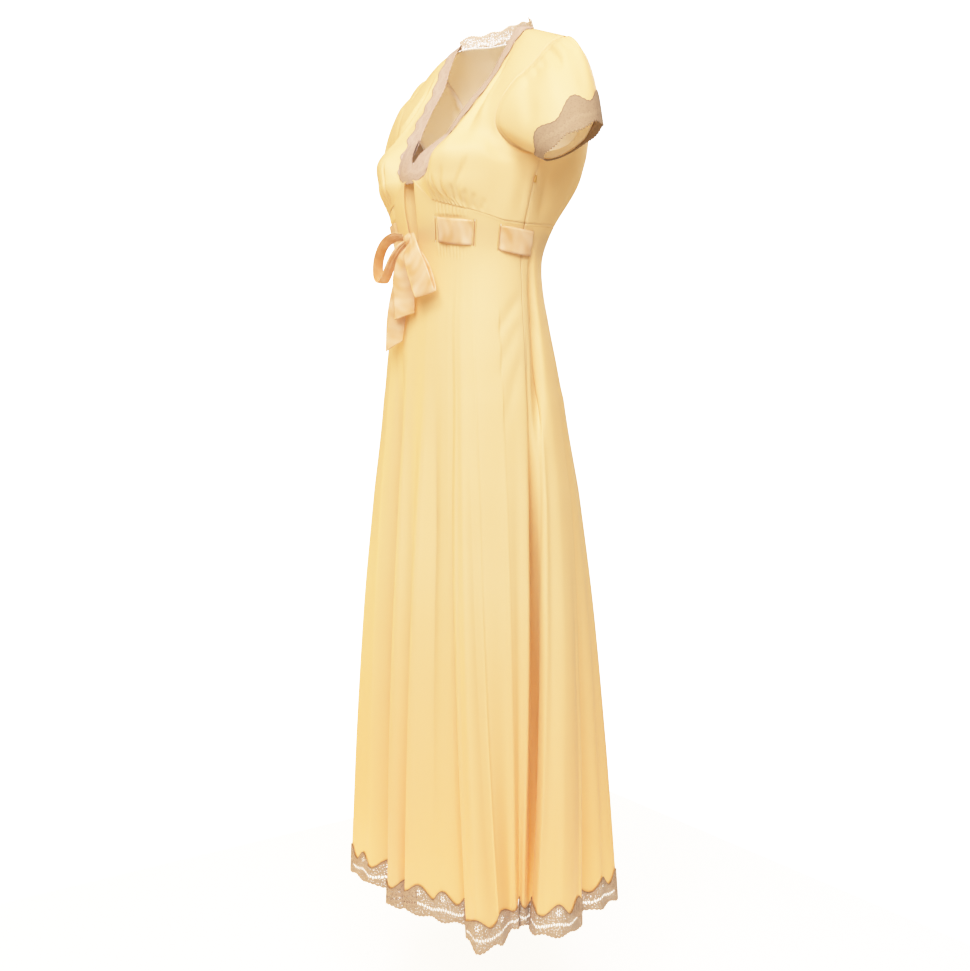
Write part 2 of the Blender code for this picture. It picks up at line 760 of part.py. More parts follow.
def ribbon(name, table, steps):
    """A run of ribbon along a smooth line, with the direction across it and its width."""
    middles = [Vector(row[0:3]) for row in table]
    across = [Vector(row[3:6]).normalized() * row[6] / 2 for row in table]
    lines = [[], [], []]
    for index in range(steps + 1):
        at = (len(table) - 1) * index / steps
        middle = spline(middles, at)
        half = spline(across, at)
        for line, share in zip(lines, (-1, 0, 1)):
            line.append(middle + half * share)
    cloth(name, "ribbon", lines, RIBBON_WALL)


def knot():
    """Knot of the bow, a rounded lump at the foot of the keyhole."""
    lump = bmesh.new()
    bmesh.ops.create_uvsphere(lump, u_segments=14, v_segments=8, radius=1)
    for vert in lump.verts:
        size = Vector(KNOT_HALF)
        vert.co = (Vector(KNOT_CENTRE) + vert.co * size) * CM
    mesh = bpy.data.meshes.new("bow_knot")
    lump.to_mesh(mesh)
    lump.free()
    mesh.materials.append(material_for("bow_knot", "ribbon"))
    mesh.shade_smooth()
    parts.objects.link(bpy.data.objects.new("bow_knot", mesh))


def side_seam_point(height):
    """Point of the left side seam at a height, on the bodice or the skirt."""
    seam = seam_height(SIDE_COLUMN)
    if height <= seam:
        return body_point(SIDE_COLUMN, height)
    underarm = Vector(ARMHOLE[UNDERARM])
    return body_point(SIDE_COLUMN, seam).lerp(underarm, (height - seam) / (underarm.z - seam))


def zip_tape():
    """Tape and coil of the zip, inside the side seam."""
    lines = [[], [], []]
    for index in range(ZIP_STEPS + 1):
        height = ZIP_FOOT + (ZIP_TOP - ZIP_FOOT) * index / ZIP_STEPS
        middle = side_seam_point(height) - Vector((SILK_WALL + ZIP_ROOM, 0, 0))
        for line, share in zip(lines, (-1, 0, 1)):
            line.append(middle + Vector((0, ZIP_HALF_WIDTH * share, 0)))
    grid = [list(column) for column in zip(*lines)]
    cloth("zip_tape", "zip", grid, 0.08)


def zip_slider():
    """Pull tab of the zip, hanging outside its upper end."""
    tab = bmesh.new()
    bmesh.ops.create_cube(tab, size=1)
    place = side_seam_point(ZIP_TOP - SLIDER_SIZE[2] / 2) + Vector((SLIDER_SIZE[0] / 2 + 0.06, 0, 0))
    for vert in tab.verts:
        narrow = 0.7 if vert.co.z > 0 else 1.0
        size = Vector((SLIDER_SIZE[0], SLIDER_SIZE[1] * narrow, SLIDER_SIZE[2]))
        lean = 0.29 * vert.co.z
        vert.co = (place + Vector((vert.co.x * size.x + lean, vert.co.y * size.y, vert.co.z * size.z))) * CM
    mesh = bpy.data.meshes.new("zip_slider")
    tab.to_mesh(mesh)
    tab.free()
    mesh.materials.append(material_for("zip_slider", "zip"))
    piece = bpy.data.objects.new("zip_slider", mesh)
    parts.objects.link(piece)


for old in list(bpy.data.objects):
    bpy.data.objects.remove(old)
parts = bpy.data.collections.new("silk_midi_dress")
bpy.context.scene.collection.children.link(parts)

skirt_panel("skirt_front", -SIDE_COLUMN, SIDE_COLUMN)
skirt_panel("skirt_back", SIDE_COLUMN, COLUMNS - SIDE_COLUMN)
front_panel("bodice_front_left", 1)
front_panel("bodice_front_right", -1)
back_panel()
sleeve("sleeve_left", 1)
sleeve("sleeve_right", -1)
cuff_lace("lace_cuff_left", 1)
cuff_lace("lace_cuff_right", -1)
neck_lace_front("lace_neck_left", 1)
neck_lace_front("lace_neck_right", -1)
neck_lace_back()
hem_lace("lace_hem_front", -SIDE_COLUMN, SIDE_COLUMN)
hem_lace("lace_hem_back", SIDE_COLUMN, COLUMNS - SIDE_COLUMN)
belt()
knot()
ribbon("bow_loop_left", BOW_LOOP_LEFT, 16)
ribbon("bow_loop_right", BOW_LOOP_RIGHT, 16)
ribbon("bow_tail_left", BOW_TAIL_LEFT, 7)
ribbon("bow_tail_right", BOW_TAIL_RIGHT, 7)
zip_tape()
zip_slider()
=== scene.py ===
import math

import bmesh
import bpy
import numpy as np
from mathutils import Matrix


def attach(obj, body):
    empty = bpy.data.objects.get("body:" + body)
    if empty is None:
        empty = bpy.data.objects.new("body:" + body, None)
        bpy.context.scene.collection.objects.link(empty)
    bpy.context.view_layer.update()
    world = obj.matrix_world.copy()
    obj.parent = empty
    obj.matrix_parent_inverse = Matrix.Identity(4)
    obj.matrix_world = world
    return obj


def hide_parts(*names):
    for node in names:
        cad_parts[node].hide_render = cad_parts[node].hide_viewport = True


# Silk midi dress, worn shape. Tables hold centimetres, meshes metres.
# +Z is up, the front faces -Y and the wearer's left is +X.
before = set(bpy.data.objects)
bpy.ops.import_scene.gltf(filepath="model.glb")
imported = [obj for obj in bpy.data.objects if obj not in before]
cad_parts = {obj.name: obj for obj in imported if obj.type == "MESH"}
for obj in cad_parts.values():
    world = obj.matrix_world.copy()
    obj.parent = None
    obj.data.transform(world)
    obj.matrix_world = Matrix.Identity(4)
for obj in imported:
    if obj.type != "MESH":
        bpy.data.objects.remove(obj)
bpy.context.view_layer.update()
cm = 0.01
wallThickness = 0.0006
print("frame loaded", len(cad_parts), "nodes")


def linearColour(hexCode):
    values = []
    for start in (0, 2, 4):
        value = int(hexCode[start:start + 2], 16) / 255
        curved = ((value + 0.055) / 1.055) ** 2.4
        values.append(value / 12.92 if value <= 0.04045 else curved)
    return (*values, 1.0)


def addNode(tree, kind, settings=None, links=None):
    node = tree.nodes.new(kind)
    for key, value in (settings or {}).items():
        if isinstance(key, str) and hasattr(node, key):
            setattr(node, key, value)
        else:
            node.inputs[key].default_value = value
    for key, source in (links or {}).items():
        socket = source.outputs[0] if hasattr(source, "outputs") else source
        tree.links.new(socket, node.inputs[key])
    return node


# Numbers are set on the node's sockets, and anything else is linked to them
def maths(tree, operation, *values):
    settings, links = {"operation": operation}, {}
    for place, value in enumerate(values):
        (settings if isinstance(value, (int, float)) else links)[place] = value
    return addNode(tree, "ShaderNodeMath", settings, links)


def ramp(tree, value, low, high, first=0.0, last=1.0):
    settings = {"From Min": low, "From Max": high, "To Min": first, "To Max": last}
    return addNode(tree, "ShaderNodeMapRange", settings, {"Value": value})


# Each colour is a hex code, a linear colour or a socket
def mixed(tree, share, first, second):
    settings, links = {"data_type": "RGBA"}, {0: share}
    for place, colour in ((6, first), (7, second)):
        colour = linearColour(colour) if isinstance(colour, str) else colour
        (settings if isinstance(colour, tuple) else links)[place] = colour
    return addNode(tree, "ShaderNodeMix", settings, links).outputs[2]


def noise(tree, place, scale, detail=2.0):
    settings = {"Scale": scale, "Detail": detail}
    return addNode(tree, "ShaderNodeTexNoise", settings, {"Vector": place}).outputs["Fac"]


def threads(tree, place, scale, direction):
    settings = {"Scale": scale, "bands_direction": direction}
    return addNode(tree, "ShaderNodeTexWave", settings, {"Vector": place}).outputs["Fac"]


def addBump(tree, shader, height, strength, distance):
    settings = {"Strength": strength, "Distance": distance}
    bump = addNode(tree, "ShaderNodeBump", settings, {"Height": height})
    tree.links.new(bump.outputs[0], shader.inputs["Normal"])


def netCells(tree, place, scale, randomness=1.0):
    settings = {"voronoi_dimensions": "2D", "Scale": scale, "Randomness": randomness}
    return addNode(tree, "ShaderNodeTexVoronoi", settings, {"Vector": place}).outputs["Distance"]


# Some of the light comes through the cloth
def letThrough(tree, shader, through, share):
    both = addNode(tree, "ShaderNodeMixShader", {0: share}, {1: shader, 2: through})
    tree.links.new(both.outputs[0], tree.nodes["Material Output"].inputs["Surface"])


def newMaterial(name, values):
    material = bpy.data.materials.new(name)
    material.use_nodes = True
    shader = material.node_tree.nodes["Principled BSDF"]
    for key, value in values.items():
        shader.inputs[key].default_value = value
    return material, material.node_tree, shader


def newObject(name, data):
    made = bpy.data.objects.new(name, data)
    bpy.context.scene.collection.objects.link(made)
    return made


def newMesh(name, shape, materials):
    mesh = bpy.data.meshes.new(name)
    shape.to_mesh(mesh)
    shape.free()
    for material in materials:
        mesh.materials.append(material)
    return newObject(name, mesh)


# Camera and light

viewpoint = {
    "turn": 54.5,        # degrees round from the front towards the wearer's left
    "tilt": 6.4,         # degrees down
    "distance": 2.0,
    "aside": 0.025,
    "height": -0.45,
    "focalPixels": 1300,
    "longSide": 971,
    "sensorWidth": 36,
    "farthest": 60,
}


def placeCamera():
    turn = math.radians(viewpoint["turn"])
    camera = newObject("camera", bpy.data.cameras.new("camera"))
    away = viewpoint["distance"]
    aside = viewpoint["aside"]
    camera.location = (
        away * math.sin(turn) + aside * math.cos(turn),
        -away * math.cos(turn) + aside * math.sin(turn),
        viewpoint["height"],
    )
    camera.rotation_euler = (math.radians(90 - viewpoint["tilt"]), 0, turn)
    camera.data.sensor_width = viewpoint["sensorWidth"]
    camera.data.lens = viewpoint["sensorWidth"] * viewpoint["focalPixels"] / viewpoint["longSide"]
    camera.data.clip_end = viewpoint["farthest"]
    bpy.context.scene.camera = camera


# name: direction round from the front, height, distance, width, watts, colour
lamps = {
    "keyLight": (68, 2.1, 2.7, 1.3, 106, "fffaf6"),
    "frontLight": (44, 0.8, 2.6, 0.9, 36, "fffaf6"),
    "lowLight": (300, -0.9, 2.2, 1.0, 34, "ffd080"),
    "topLight": (24, 1.7, 1.5, 1.0, 44, "fffaf6"),
    "backLight": (205, 0.9, 2.8, 1.6, 44, "f6f8ff"),
}
studio = {
    "aim": -0.55,        # the height that every lamp points at
    "backdrop": 3.0,
    "fill": 0.56,
    "fillColour": "ffe9ba",
    "floorLevel": -1.55,
    "floorHalf": 0.9,
    "floorGlow": 1.0,
    "floorColour": "fafafa",
    "floorRoughness": 0.9,
    # how bright light is recorded: straight in the shade, then easing off like film
    "recorded": (
        (0.3, 0.3), (0.6, 0.56), (0.9, 0.74), (1.2, 0.855), (1.6, 0.94), (2.0, 0.98), (2.5, 1.0),
    ),
}


def placeLamps():
    for name, (turn, height, distance, width, watts, colour) in lamps.items():
        light = bpy.data.lights.new(name, "AREA")
        light.size = width
        light.energy = watts
        light.color = linearColour(colour)[:3]
        lamp = newObject(name, light)
        angle = math.radians(turn)
        lamp.location = (distance * math.sin(angle), -distance * math.cos(angle), height)
        slope = math.atan2(height - studio["aim"], distance)
        lamp.rotation_euler = (math.pi / 2 - slope, 0, angle)


# White backdrop paper, and a dimmer fill from every side
def lightWorld():
    world = bpy.data.worlds.new("studio")
    bpy.context.scene.world = world
    world.use_nodes = True
    tree = world.node_tree
    fill = tree.nodes["Background"]
    fill.inputs["Color"].default_value = linearColour(studio["fillColour"])
    fill.inputs["Strength"].default_value = studio["fill"]
    settings = {"Color": (1, 1, 1, 1), "Strength": studio["backdrop"]}
    backdrop = addNode(tree, "ShaderNodeBackground", settings)
    seen = addNode(tree, "ShaderNodeLightPath").outputs["Is Camera Ray"]
    both = addNode(tree, "ShaderNodeMixShader", None, {0: seen, 1: fill, 2: backdrop})
    tree.links.new(both.outputs[0], tree.nodes["World Output"].inputs["Surface"])


def setToneCurve():
    view = bpy.context.scene.view_settings
    view.view_transform = "Standard"
    view.use_curve_mapping = True
    brightest = studio["recorded"][-1][0]
    view.curve_mapping.white_level = (brightest,) * 3
    for light, shown in studio["recorded"][:-1]:
        view.curve_mapping.curves[3].points.new(light / brightest, shown)
    view.curve_mapping.update()


def placeFloor():
    sheet = bmesh.new()
    bmesh.ops.create_grid(sheet, x_segments=1, y_segments=1, size=studio["floorHalf"])
    bmesh.ops.translate(sheet, verts=sheet.verts[:], vec=(0, 0, studio["floorLevel"]))
    # Matt white studio paper, lit evenly enough to read as white
    material = newMaterial("whitePaper", {
        "Base Color": linearColour(studio["floorColour"]),
        "Roughness": studio["floorRoughness"],
        "Emission Color": (1, 1, 1, 1),
        "Emission Strength": studio["floorGlow"],
    })[0]
    floor = newMesh("studioFloor", sheet, [material])


placeCamera()
placeLamps()
lightWorld()
setToneCurve()
placeFloor()
print("camera, lamps and floor placed")

# Materials

silkLooks = {
    # low and lowGlow are painted shade: the colours that the silk turns towards the hem
    "face": {
        "light": "fbdfb3", "deep": "fad9a8", "low": "fbd6a2",
        "glow": "fddca4", "lowGlow": "fcbf4e", "rough": 0.46, "sheen": 0.25,
    },
    # The inside face is drawn near white and a little blue: painted light that brightens the shaded
    # inside of the dress
    "reverse": {
        "light": "fbfbff", "deep": "f8f6f6", "low": "f8f0e0",
        "glow": "fefaf0", "lowGlow": "fef4dc", "rough": 0.7, "sheen": 0.1,
    },
}
silkCloth = {
    "toneScale": 5.0,
    # where the painted shade towards the hem starts, and where it is deepest
    "paintedShadeBelow": (-0.8, -1.2),
    "threadsPerCm": 9,     # real silk has about 50, drawn coarser so that it shows
    "weaveShare": 0.35,
    "crinkleScale": 60.0,
    "bump": (0.12, 0.0006),
    "seenThrough": 0.42,
}


# Sandwashed silk satin, woven: a soft broad sheen, and light that glows warm through one layer.
def silkMaterial(name, look):
    material, tree, shader = newMaterial(name, {
        "Roughness": look["rough"],
        "IOR": 1.54,
        "Specular IOR Level": 0.35,
        "Sheen Weight": look["sheen"],
        "Sheen Roughness": 0.4,
        "Sheen Tint": linearColour("fff3d8"),
    })
    place = addNode(tree, "ShaderNodeTexCoord")
    spot, flat = place.outputs["Object"], place.outputs["UV"]
    broad = noise(tree, spot, silkCloth["toneScale"])
    colour = mixed(tree, broad, look["light"], look["deep"])
    # Painted shade: the colour deepens from 80 cm below the shoulder down to the hem, standing in
    # for the lower skirt lying in more shade
    height = addNode(tree, "ShaderNodeSeparateXYZ", None, {0: spot}).outputs[2]
    paintedShadeBelow = ramp(tree, height, *silkCloth["paintedShadeBelow"])
    tree.links.new(mixed(tree, paintedShadeBelow, colour, look["low"]), shader.inputs["Base Color"])
    weaveScale = silkCloth["threadsPerCm"] * math.pi / 10
    warp, weft = (threads(tree, flat, weaveScale, direction) for direction in "XY")
    crinkle = noise(tree, spot, silkCloth["crinkleScale"], 3.0)
    weave = maths(tree, "MULTIPLY", warp, weft)
    rough = maths(tree, "MULTIPLY_ADD", weave, silkCloth["weaveShare"], crinkle)
    addBump(tree, shader, rough, *silkCloth["bump"])
    # Painted shade too: the light let through turns more saturated towards the hem
    glow = mixed(tree, paintedShadeBelow, look["glow"], look["lowGlow"])
    through = addNode(tree, "ShaderNodeBsdfTranslucent", None, {"Color": glow})
    letThrough(tree, shader, through, silkCloth["seenThrough"])
    return material


laceLooks = {
    "hem": {
        "net": "a2866e", "cord": "927558", "thread": "ccb29c",
        "scallop": 5.3, "open": 0.8, "arcs": 0.9,
    },
    "cuff": {
        "net": "9c8470", "cord": "8a735f", "thread": "b09881",
        "scallop": 3.9, "open": 0.15, "arcs": 0.0,
    },
    "neck": {
        "net": "b39a8e", "cord": "ac9386", "thread": "c6afa2",
        "scallop": 2.9, "open": 0.15, "arcs": 0.0,
    },
    "collar": {
        "net": "dcc4b2", "cord": "c8ac98", "thread": "f2e2d6",
        "scallop": 3.0, "open": 0.8, "arcs": 0.6,
    },
}
# Distances in centimetres. Where there are two, the pattern fades from the first to the second.
laceKnit = {
    "cord": (0.08, 0.2),
    "border": (0.22, 0.34),
    "arcHeight": (-0.42, 1.5),     # how much it moves with the scallop, and its middle
    "arc": (0.16, 0.24),
    "rim": (0.3, 0.42),
    "barPitch": 0.42,
    "bars": (0.55, 0.8),
    "flowerDown": 1.15,
    "petals": 6,
    "petalReach": (0.16, 0.42),    # how much it varies, and its middle
    "petal": (0.02, 0.1),
    "heart": (0.14, 0.2),
    "specks": (0.16, 0.26),
    "specksPerCm": 2.6,
    "net": (0.2, 0.34),
    "netPerCm": 9.0,
    "netRandomness": 0.3,
    "netShare": 0.5,
    "blotScale": 1.3,
    "threadShare": 0.55,
    "rimRaised": 0.6,
    "bump": (0.5, 0.0008),
}


# Cotton raschel lace, knitted and corded: matt threads over a net that shows what is behind it.
# The laceField attribute holds centimetres along, from the foot and from the top of the lace.
def laceMaterial(name, look):
    material, tree, shader = newMaterial(name, {"Roughness": 0.85, "Specular IOR Level": 0.2})
    knit = laceKnit
    field = addNode(tree, "ShaderNodeAttribute", {"attribute_name": "laceField"})
    parts = addNode(tree, "ShaderNodeSeparateXYZ", None, {0: field.outputs["Vector"]})
    along, foot, top = parts.outputs
    flat = addNode(tree, "ShaderNodeCombineXYZ", None, {0: along, 1: foot})
    cord = ramp(tree, top, *knit["cord"], 1.0, 0.0)
    border = ramp(tree, foot, *knit["border"], 1.0, 0.0)
    # Arcs of open bars that follow each scallop
    wave = maths(tree, "COSINE", maths(tree, "MULTIPLY", along, 2 * math.pi / look["scallop"]))
    arcHeight = maths(tree, "MULTIPLY_ADD", wave, *knit["arcHeight"])
    arcFar = maths(tree, "ABSOLUTE", maths(tree, "SUBTRACT", foot, arcHeight))
    arc = ramp(tree, arcFar, *knit["arc"], 1.0, 0.0)
    rim = ramp(tree, arcFar, *knit["rim"], 1.0, 0.0)
    barTurn = maths(tree, "MULTIPLY", along, 2 * math.pi / knit["barPitch"])
    bars = ramp(tree, maths(tree, "SINE", barTurn), *knit["bars"], 1.0, 0.0)
    arcOpen = maths(tree, "MULTIPLY", maths(tree, "MULTIPLY", arc, bars), look["arcs"])
    # A small flower under each peak
    share = maths(tree, "FRACT", maths(tree, "DIVIDE", along, look["scallop"]))
    sideways = maths(tree, "MULTIPLY_ADD", share, look["scallop"], -look["scallop"] / 2)
    upwards = maths(tree, "SUBTRACT", top, knit["flowerDown"])
    spoke = addNode(tree, "ShaderNodeCombineXYZ", None, {0: sideways, 1: upwards})
    length = addNode(tree, "ShaderNodeVectorMath", {"operation": "LENGTH"}, {0: spoke})
    radius = length.outputs["Value"]
    bearing = maths(tree, "ARCTAN2", upwards, sideways)
    petalWave = maths(tree, "COSINE", maths(tree, "MULTIPLY", bearing, knit["petals"]))
    petalReach = maths(tree, "MULTIPLY_ADD", petalWave, *knit["petalReach"])
    petal = ramp(tree, maths(tree, "SUBTRACT", petalReach, radius), *knit["petal"])
    heart = ramp(tree, radius, *knit["heart"])
    flower = maths(tree, "MULTIPLY", maths(tree, "MULTIPLY", petal, heart), look["arcs"])
    # Small openings, 2 mm across and about 4 mm apart, and the finer ones of the net
    cells = netCells(tree, flat, knit["specksPerCm"])
    holes = ramp(tree, cells, *knit["specks"], look["open"], 0.0)
    cells = netCells(tree, flat, knit["netPerCm"], knit["netRandomness"])
    net = ramp(tree, cells, *knit["net"], knit["netShare"] * look["open"], 0.0)
    for more in (net, arcOpen, flower):
        holes = maths(tree, "MAXIMUM", holes, more)
    whole = maths(tree, "SUBTRACT", 1.0, holes)
    alpha = maths(tree, "MAXIMUM", maths(tree, "MAXIMUM", cord, border), whole)
    tree.links.new(alpha.outputs[0], shader.inputs["Alpha"])
    settings = {"noise_dimensions": "2D", "Scale": knit["blotScale"], "Detail": 3.0}
    blot = addNode(tree, "ShaderNodeTexNoise", settings, {"Vector": flat}).outputs["Fac"]
    lightPart = maths(tree, "MAXIMUM", rim, blot)
    threadPart = maths(tree, "MULTIPLY", lightPart, knit["threadShare"])
    ground = mixed(tree, threadPart, look["net"], look["thread"])
    tree.links.new(mixed(tree, cord, ground, look["cord"]), shader.inputs["Base Color"])
    raisedPart = maths(tree, "MULTIPLY_ADD", rim, knit["rimRaised"], cord)
    addBump(tree, shader, maths(tree, "SUBTRACT", raisedPart, holes), *knit["bump"])
    return material


ribbonLook = {
    # light and deep are painted sheen and shade, the lit and the shaded colour of the satin
    "light": "fde3c6",
    "deep": "e9bd8c",
    "edge": "deaa7a",
    "glow": "fbd6a6",
    "seenThrough": 0.35,
    "ribs": 4.7,
    "toneScale": 0.55,
    "tone": (0.3, 0.7),
    "bump": (0.08, 0.0004),
}


# Double-faced satin ribbon, woven with long floats: glossy across, a firmer woven edge.
def ribbonMaterial(name, look):
    material, tree, shader = newMaterial(name, {
        "Roughness": 0.24,
        "IOR": 1.55,
        "Sheen Weight": 0.2,
        "Sheen Tint": linearColour("fff0dc"),
    })
    flat = addNode(tree, "ShaderNodeTexCoord").outputs["UV"]
    # Painted sheen and shade: broad light and deep patches, placed at random along the ribbon,
    # stand in for the streaky sheen of satin
    tone = ramp(tree, noise(tree, flat, look["toneScale"], 1.0), *look["tone"])
    colour = mixed(tree, tone, look["light"], look["deep"])
    # UV height runs from -1 to 1 across the ribbon, and the woven edge is its outer tenth
    parts = addNode(tree, "ShaderNodeSeparateXYZ", None, {0: flat})
    edge = ramp(tree, maths(tree, "ABSOLUTE", parts.outputs[1]), 0.9, 0.96, 0.0, 0.15)
    tree.links.new(mixed(tree, edge, colour, look["edge"]), shader.inputs["Base Color"])
    addBump(tree, shader, threads(tree, flat, look["ribs"], "Y"), *look["bump"])
    through = addNode(tree, "ShaderNodeBsdfTranslucent", {"Color": linearColour(look["glow"])})
    letThrough(tree, shader, through, look["seenThrough"])
    return material


# Spun polyester thread and dyed nylon zip: plain, slightly glossy, with a fine twist or rib.
def trimMaterial(name, hexCode, roughness, ribs):
    material, tree, shader = newMaterial(name, {"Roughness": roughness})
    spot = addNode(tree, "ShaderNodeTexCoord").outputs["Object"]
    darker = tuple(value * 0.8 for value in linearColour(hexCode)[:3]) + (1.0,)
    colour = mixed(tree, noise(tree, spot, 400.0), hexCode, darker)
    tree.links.new(colour, shader.inputs["Base Color"])
    addBump(tree, shader, threads(tree, spot, ribs, "Z"), 0.3, 0.0003)
    return material


silk = silkMaterial("sandwashedSilkSatin", silkLooks["face"])
# The inner wall of every silk piece gets this, with its painted light
silkReverse = silkMaterial("silkCrepeReversePaintedLight", silkLooks["reverse"])
hemLace = laceMaterial("cordedLaceHem", laceLooks["hem"])
cuffLace = laceMaterial("cordedLaceCuff", laceLooks["cuff"])
neckLace = laceMaterial("cordedLaceNeck", laceLooks["neck"])
collarLace = laceMaterial("cordedLaceCollar", laceLooks["collar"])
satin = ribbonMaterial("satinRibbon", ribbonLook)
thread = trimMaterial("spunPolyesterThread", "e9c283", 0.6, 900)
zipNylon = trimMaterial("dyedNylonZip", "d9a75f", 0.45, 300)
print("materials made")

# The body's shape, shared by every piece

body = {
    "hemLevel": -127.6,
    "waistLevel": -33.5,
    "ribbonWidth": 3.5,
    "slitHeight": 3.7,
    "columns": 128,        # once round: 0 is the centre front and 64 the centre back
    "columnsAScallop": 4,
    "sideColumn": 28,
    "slitColumns": (5, 21, 24, 30),
    "growth": 1.35,        # how the folds open out from the waist to the hem
}

# height, half width, depth to the front and to the back
sections = np.array([
    (-18.0, 16.9, 10.2, 17.0),
    (-22.0, 16.4, 10.6, 15.2),
    (-25.0, 15.4, 10.5, 13.6),
    (-28.0, 14.4, 10.1, 12.1),
    (-31.0, 13.6, 9.7, 10.5),
    (-33.5, 13.3, 9.6, 9.6),
    (-37.0, 13.5, 9.9, 9.6),
    (-42.0, 14.1, 10.6, 10.6),
    (-48.0, 15.0, 11.1, 12.0),
    (-54.0, 15.9, 11.5, 13.4),
    (-68.0, 17.7, 12.5, 15.6),
    (-88.0, 19.8, 13.5, 17.5),
    (-108.0, 21.6, 14.0, 18.9),
    (-132.0, 23.4, 14.0, 20.3),
])

# column, angle at the waist from the centre front
waistColumns = np.array([
    (0, 0.0), (1, 2.7), (4, 17.0), (5, 19.4), (6, 21.2), (20, 45.0), (21, 48.8),
    (22, 50.6), (24, 68.2), (25, 70.0), (28, 90.0), (30, 98.4), (31, 100.2), (64, 180.0),
])

# angle at the waist, height
bustSeam = np.array([
    (0, -21.6), (2.7, -21.9), (17, -24.8), (50, -26.9), (70, -28.2), (90, -28.6), (180, -28.0),
])
beltLine = np.array([
    (0, -29.2), (20, -29.1), (50, -29.9), (70, -30.6), (100, -31.3), (180, -31.4),
])

# Folds at the hem: column, angle at the hem, how far out, how far down
folds = np.array([
    (0.9, 5, 1.2, 1.0),
    (2.5, 11, -1.2, 0.5),
    (4.2, 12, 1.2, 0.0),
    (8.0, 24, 1.8, 0.0),
    (12.2, 36, 0.2, 0.0),
    (14.2, 41, -0.6, 0.0),
    (16.0, 43, 2.8, 0.6),
    (18.0, 47, 4.8, 1.2),
    (21.2, 56, 2.8, 0.8),
    (24.0, 62, -1.2, 0.2),
    (26.4, 68, -2.8, 0.2),
    (29.4, 75, -2.4, 0.2),
    (31.4, 74, 1.6, -0.2),
    (34.6, 83, 3.4, -0.6),
    (38.6, 96, 2.8, -0.5),
    (42.0, 105, -2.0, 0.0),
    (45.8, 117, 0.8, 0.0),
    (50.4, 128, 1.8, 0.0),
    (55.2, 146, -1.8, 0.0),
    (60.0, 163, 1.8, 0.0),
    (64.8, 180, -1.8, 0.0),
    (70.4, 197, 2.0, 0.0),
    (75.2, 213, -1.8, 0.0),
    (80.8, 230, 2.0, 0.0),
    (85.6, 246, -1.8, 0.0),
    (91.2, 262, 2.0, 0.0),
    (96.8, 276, -2.0, 0.0),
    (101.2, 289, 1.8, 0.0),
    (105.6, 300, -1.4, 1.6),
    (109.4, 310, 0.9, 1.8),
    (114.0, 322, 1.8, 1.4),
    (119.4, 340, 0.8, 0.8),
    (123.6, 355, -2.6, 0.2),
    (127.0, 357.6, 1.2, 1.2),
])


def blended(before, here, after, last, share):
    return (
        here * (2 * share**3 - 3 * share**2 + 1)
        + (after - before) / 2 * (share**3 - 2 * share**2 + share)
        + after * (3 * share**2 - 2 * share**3)
        + (last - here) / 2 * (share**3 - share**2)
    )


def smoothCurve(points, at):
    points = np.asarray(points, float)
    at = np.asarray(at, float)
    index = np.clip(np.floor(at).astype(int), 0, len(points) - 2)
    share = (at - index).reshape(at.shape + (1,) * (points.ndim - 1))
    ends = np.concatenate([[2 * points[0] - points[1]], points, [2 * points[-1] - points[-2]]])
    return blended(*(ends[index + step] for step in range(4)), share)


# Smooth curve across lines that each have a point for every place
def acrossCurve(lines, at):
    index = np.clip(np.floor(at).astype(int), 0, len(lines) - 2)
    ends = np.stack([2 * lines[0] - lines[1], *lines, 2 * lines[-1] - lines[-2]])
    spots = index[None, ..., None]
    near = [np.take_along_axis(ends, spots + step, axis=0)[0] for step in range(4)]
    return blended(*near, (at - index)[..., None])


def softStep(share):
    share = np.clip(share, 0, 1)
    return share * share * (3 - 2 * share)


def bell(value):
    return np.exp(-value**2)


# Rounded arches with a point between them, one for every turn
def arches(turns):
    return np.abs(np.sin(np.pi * turns))


def shares(count):
    return np.linspace(0, 1, count + 1)


def sectionSize(height, column):
    levels = -sections[:, 0]
    return smoothCurve(sections[:, column], np.interp(-height, levels, np.arange(len(levels))))


def ownColumn(column):
    around = body["columns"]
    column = np.mod(column, around)
    far = column > around / 2
    return np.where(far, around - column, column), np.where(far, -1, 1)


def waistAngle(column):
    own, side = ownColumn(column)
    angle = np.interp(own, waistColumns[:, 0], waistColumns[:, 1])
    return np.where(side > 0, angle, 360 - angle)


def frontAngle(column):
    return np.interp(ownColumn(column)[0], waistColumns[:, 0], waistColumns[:, 1])


def foldAt(column):
    column = np.mod(column, body["columns"])
    lap = (body["columns"], 360, 0, 0)
    rows = np.concatenate([[folds[-1] - lap], folds, [folds[0] + lap]])
    index = np.clip(np.searchsorted(rows[:, 0], column, side="left") - 1, 0, len(rows) - 2)
    low, high = rows[index], rows[index + 1]
    share = (column - low[..., 0]) / (high[..., 0] - low[..., 0])
    soft = softStep(share)
    angle = low[..., 1] + (high[..., 1] - low[..., 1]) * share
    out, drop = (low[..., at] + (high[..., at] - low[..., at]) * soft for at in (2, 3))
    return angle, out, drop


def bodyPoint(column, height):
    column, height = np.broadcast_arrays(np.asarray(column, float), np.asarray(height, float))
    span = body["waistLevel"] - body["hemLevel"]
    growth = np.clip((body["waistLevel"] - height) / span, 0, 2) ** body["growth"]
    hemAngle, out, drop = foldAt(column)
    start = waistAngle(column)
    turn = np.mod(hemAngle - start + 180, 360) - 180
    angle = np.radians(start + turn * growth)
    halfWidth = sectionSize(height, 1) + out * growth
    depth = np.where(np.cos(angle) > 0, sectionSize(height, 2), sectionSize(height, 3))
    depth = depth + out * growth
    return np.stack([halfWidth * np.sin(angle), -depth * np.cos(angle), height - drop * growth], -1)


def seamHeight(column):
    return np.interp(frontAngle(column), bustSeam[:, 0], bustSeam[:, 1])


def beltHeight(column):
    return np.interp(frontAngle(column), beltLine[:, 0], beltLine[:, 1])


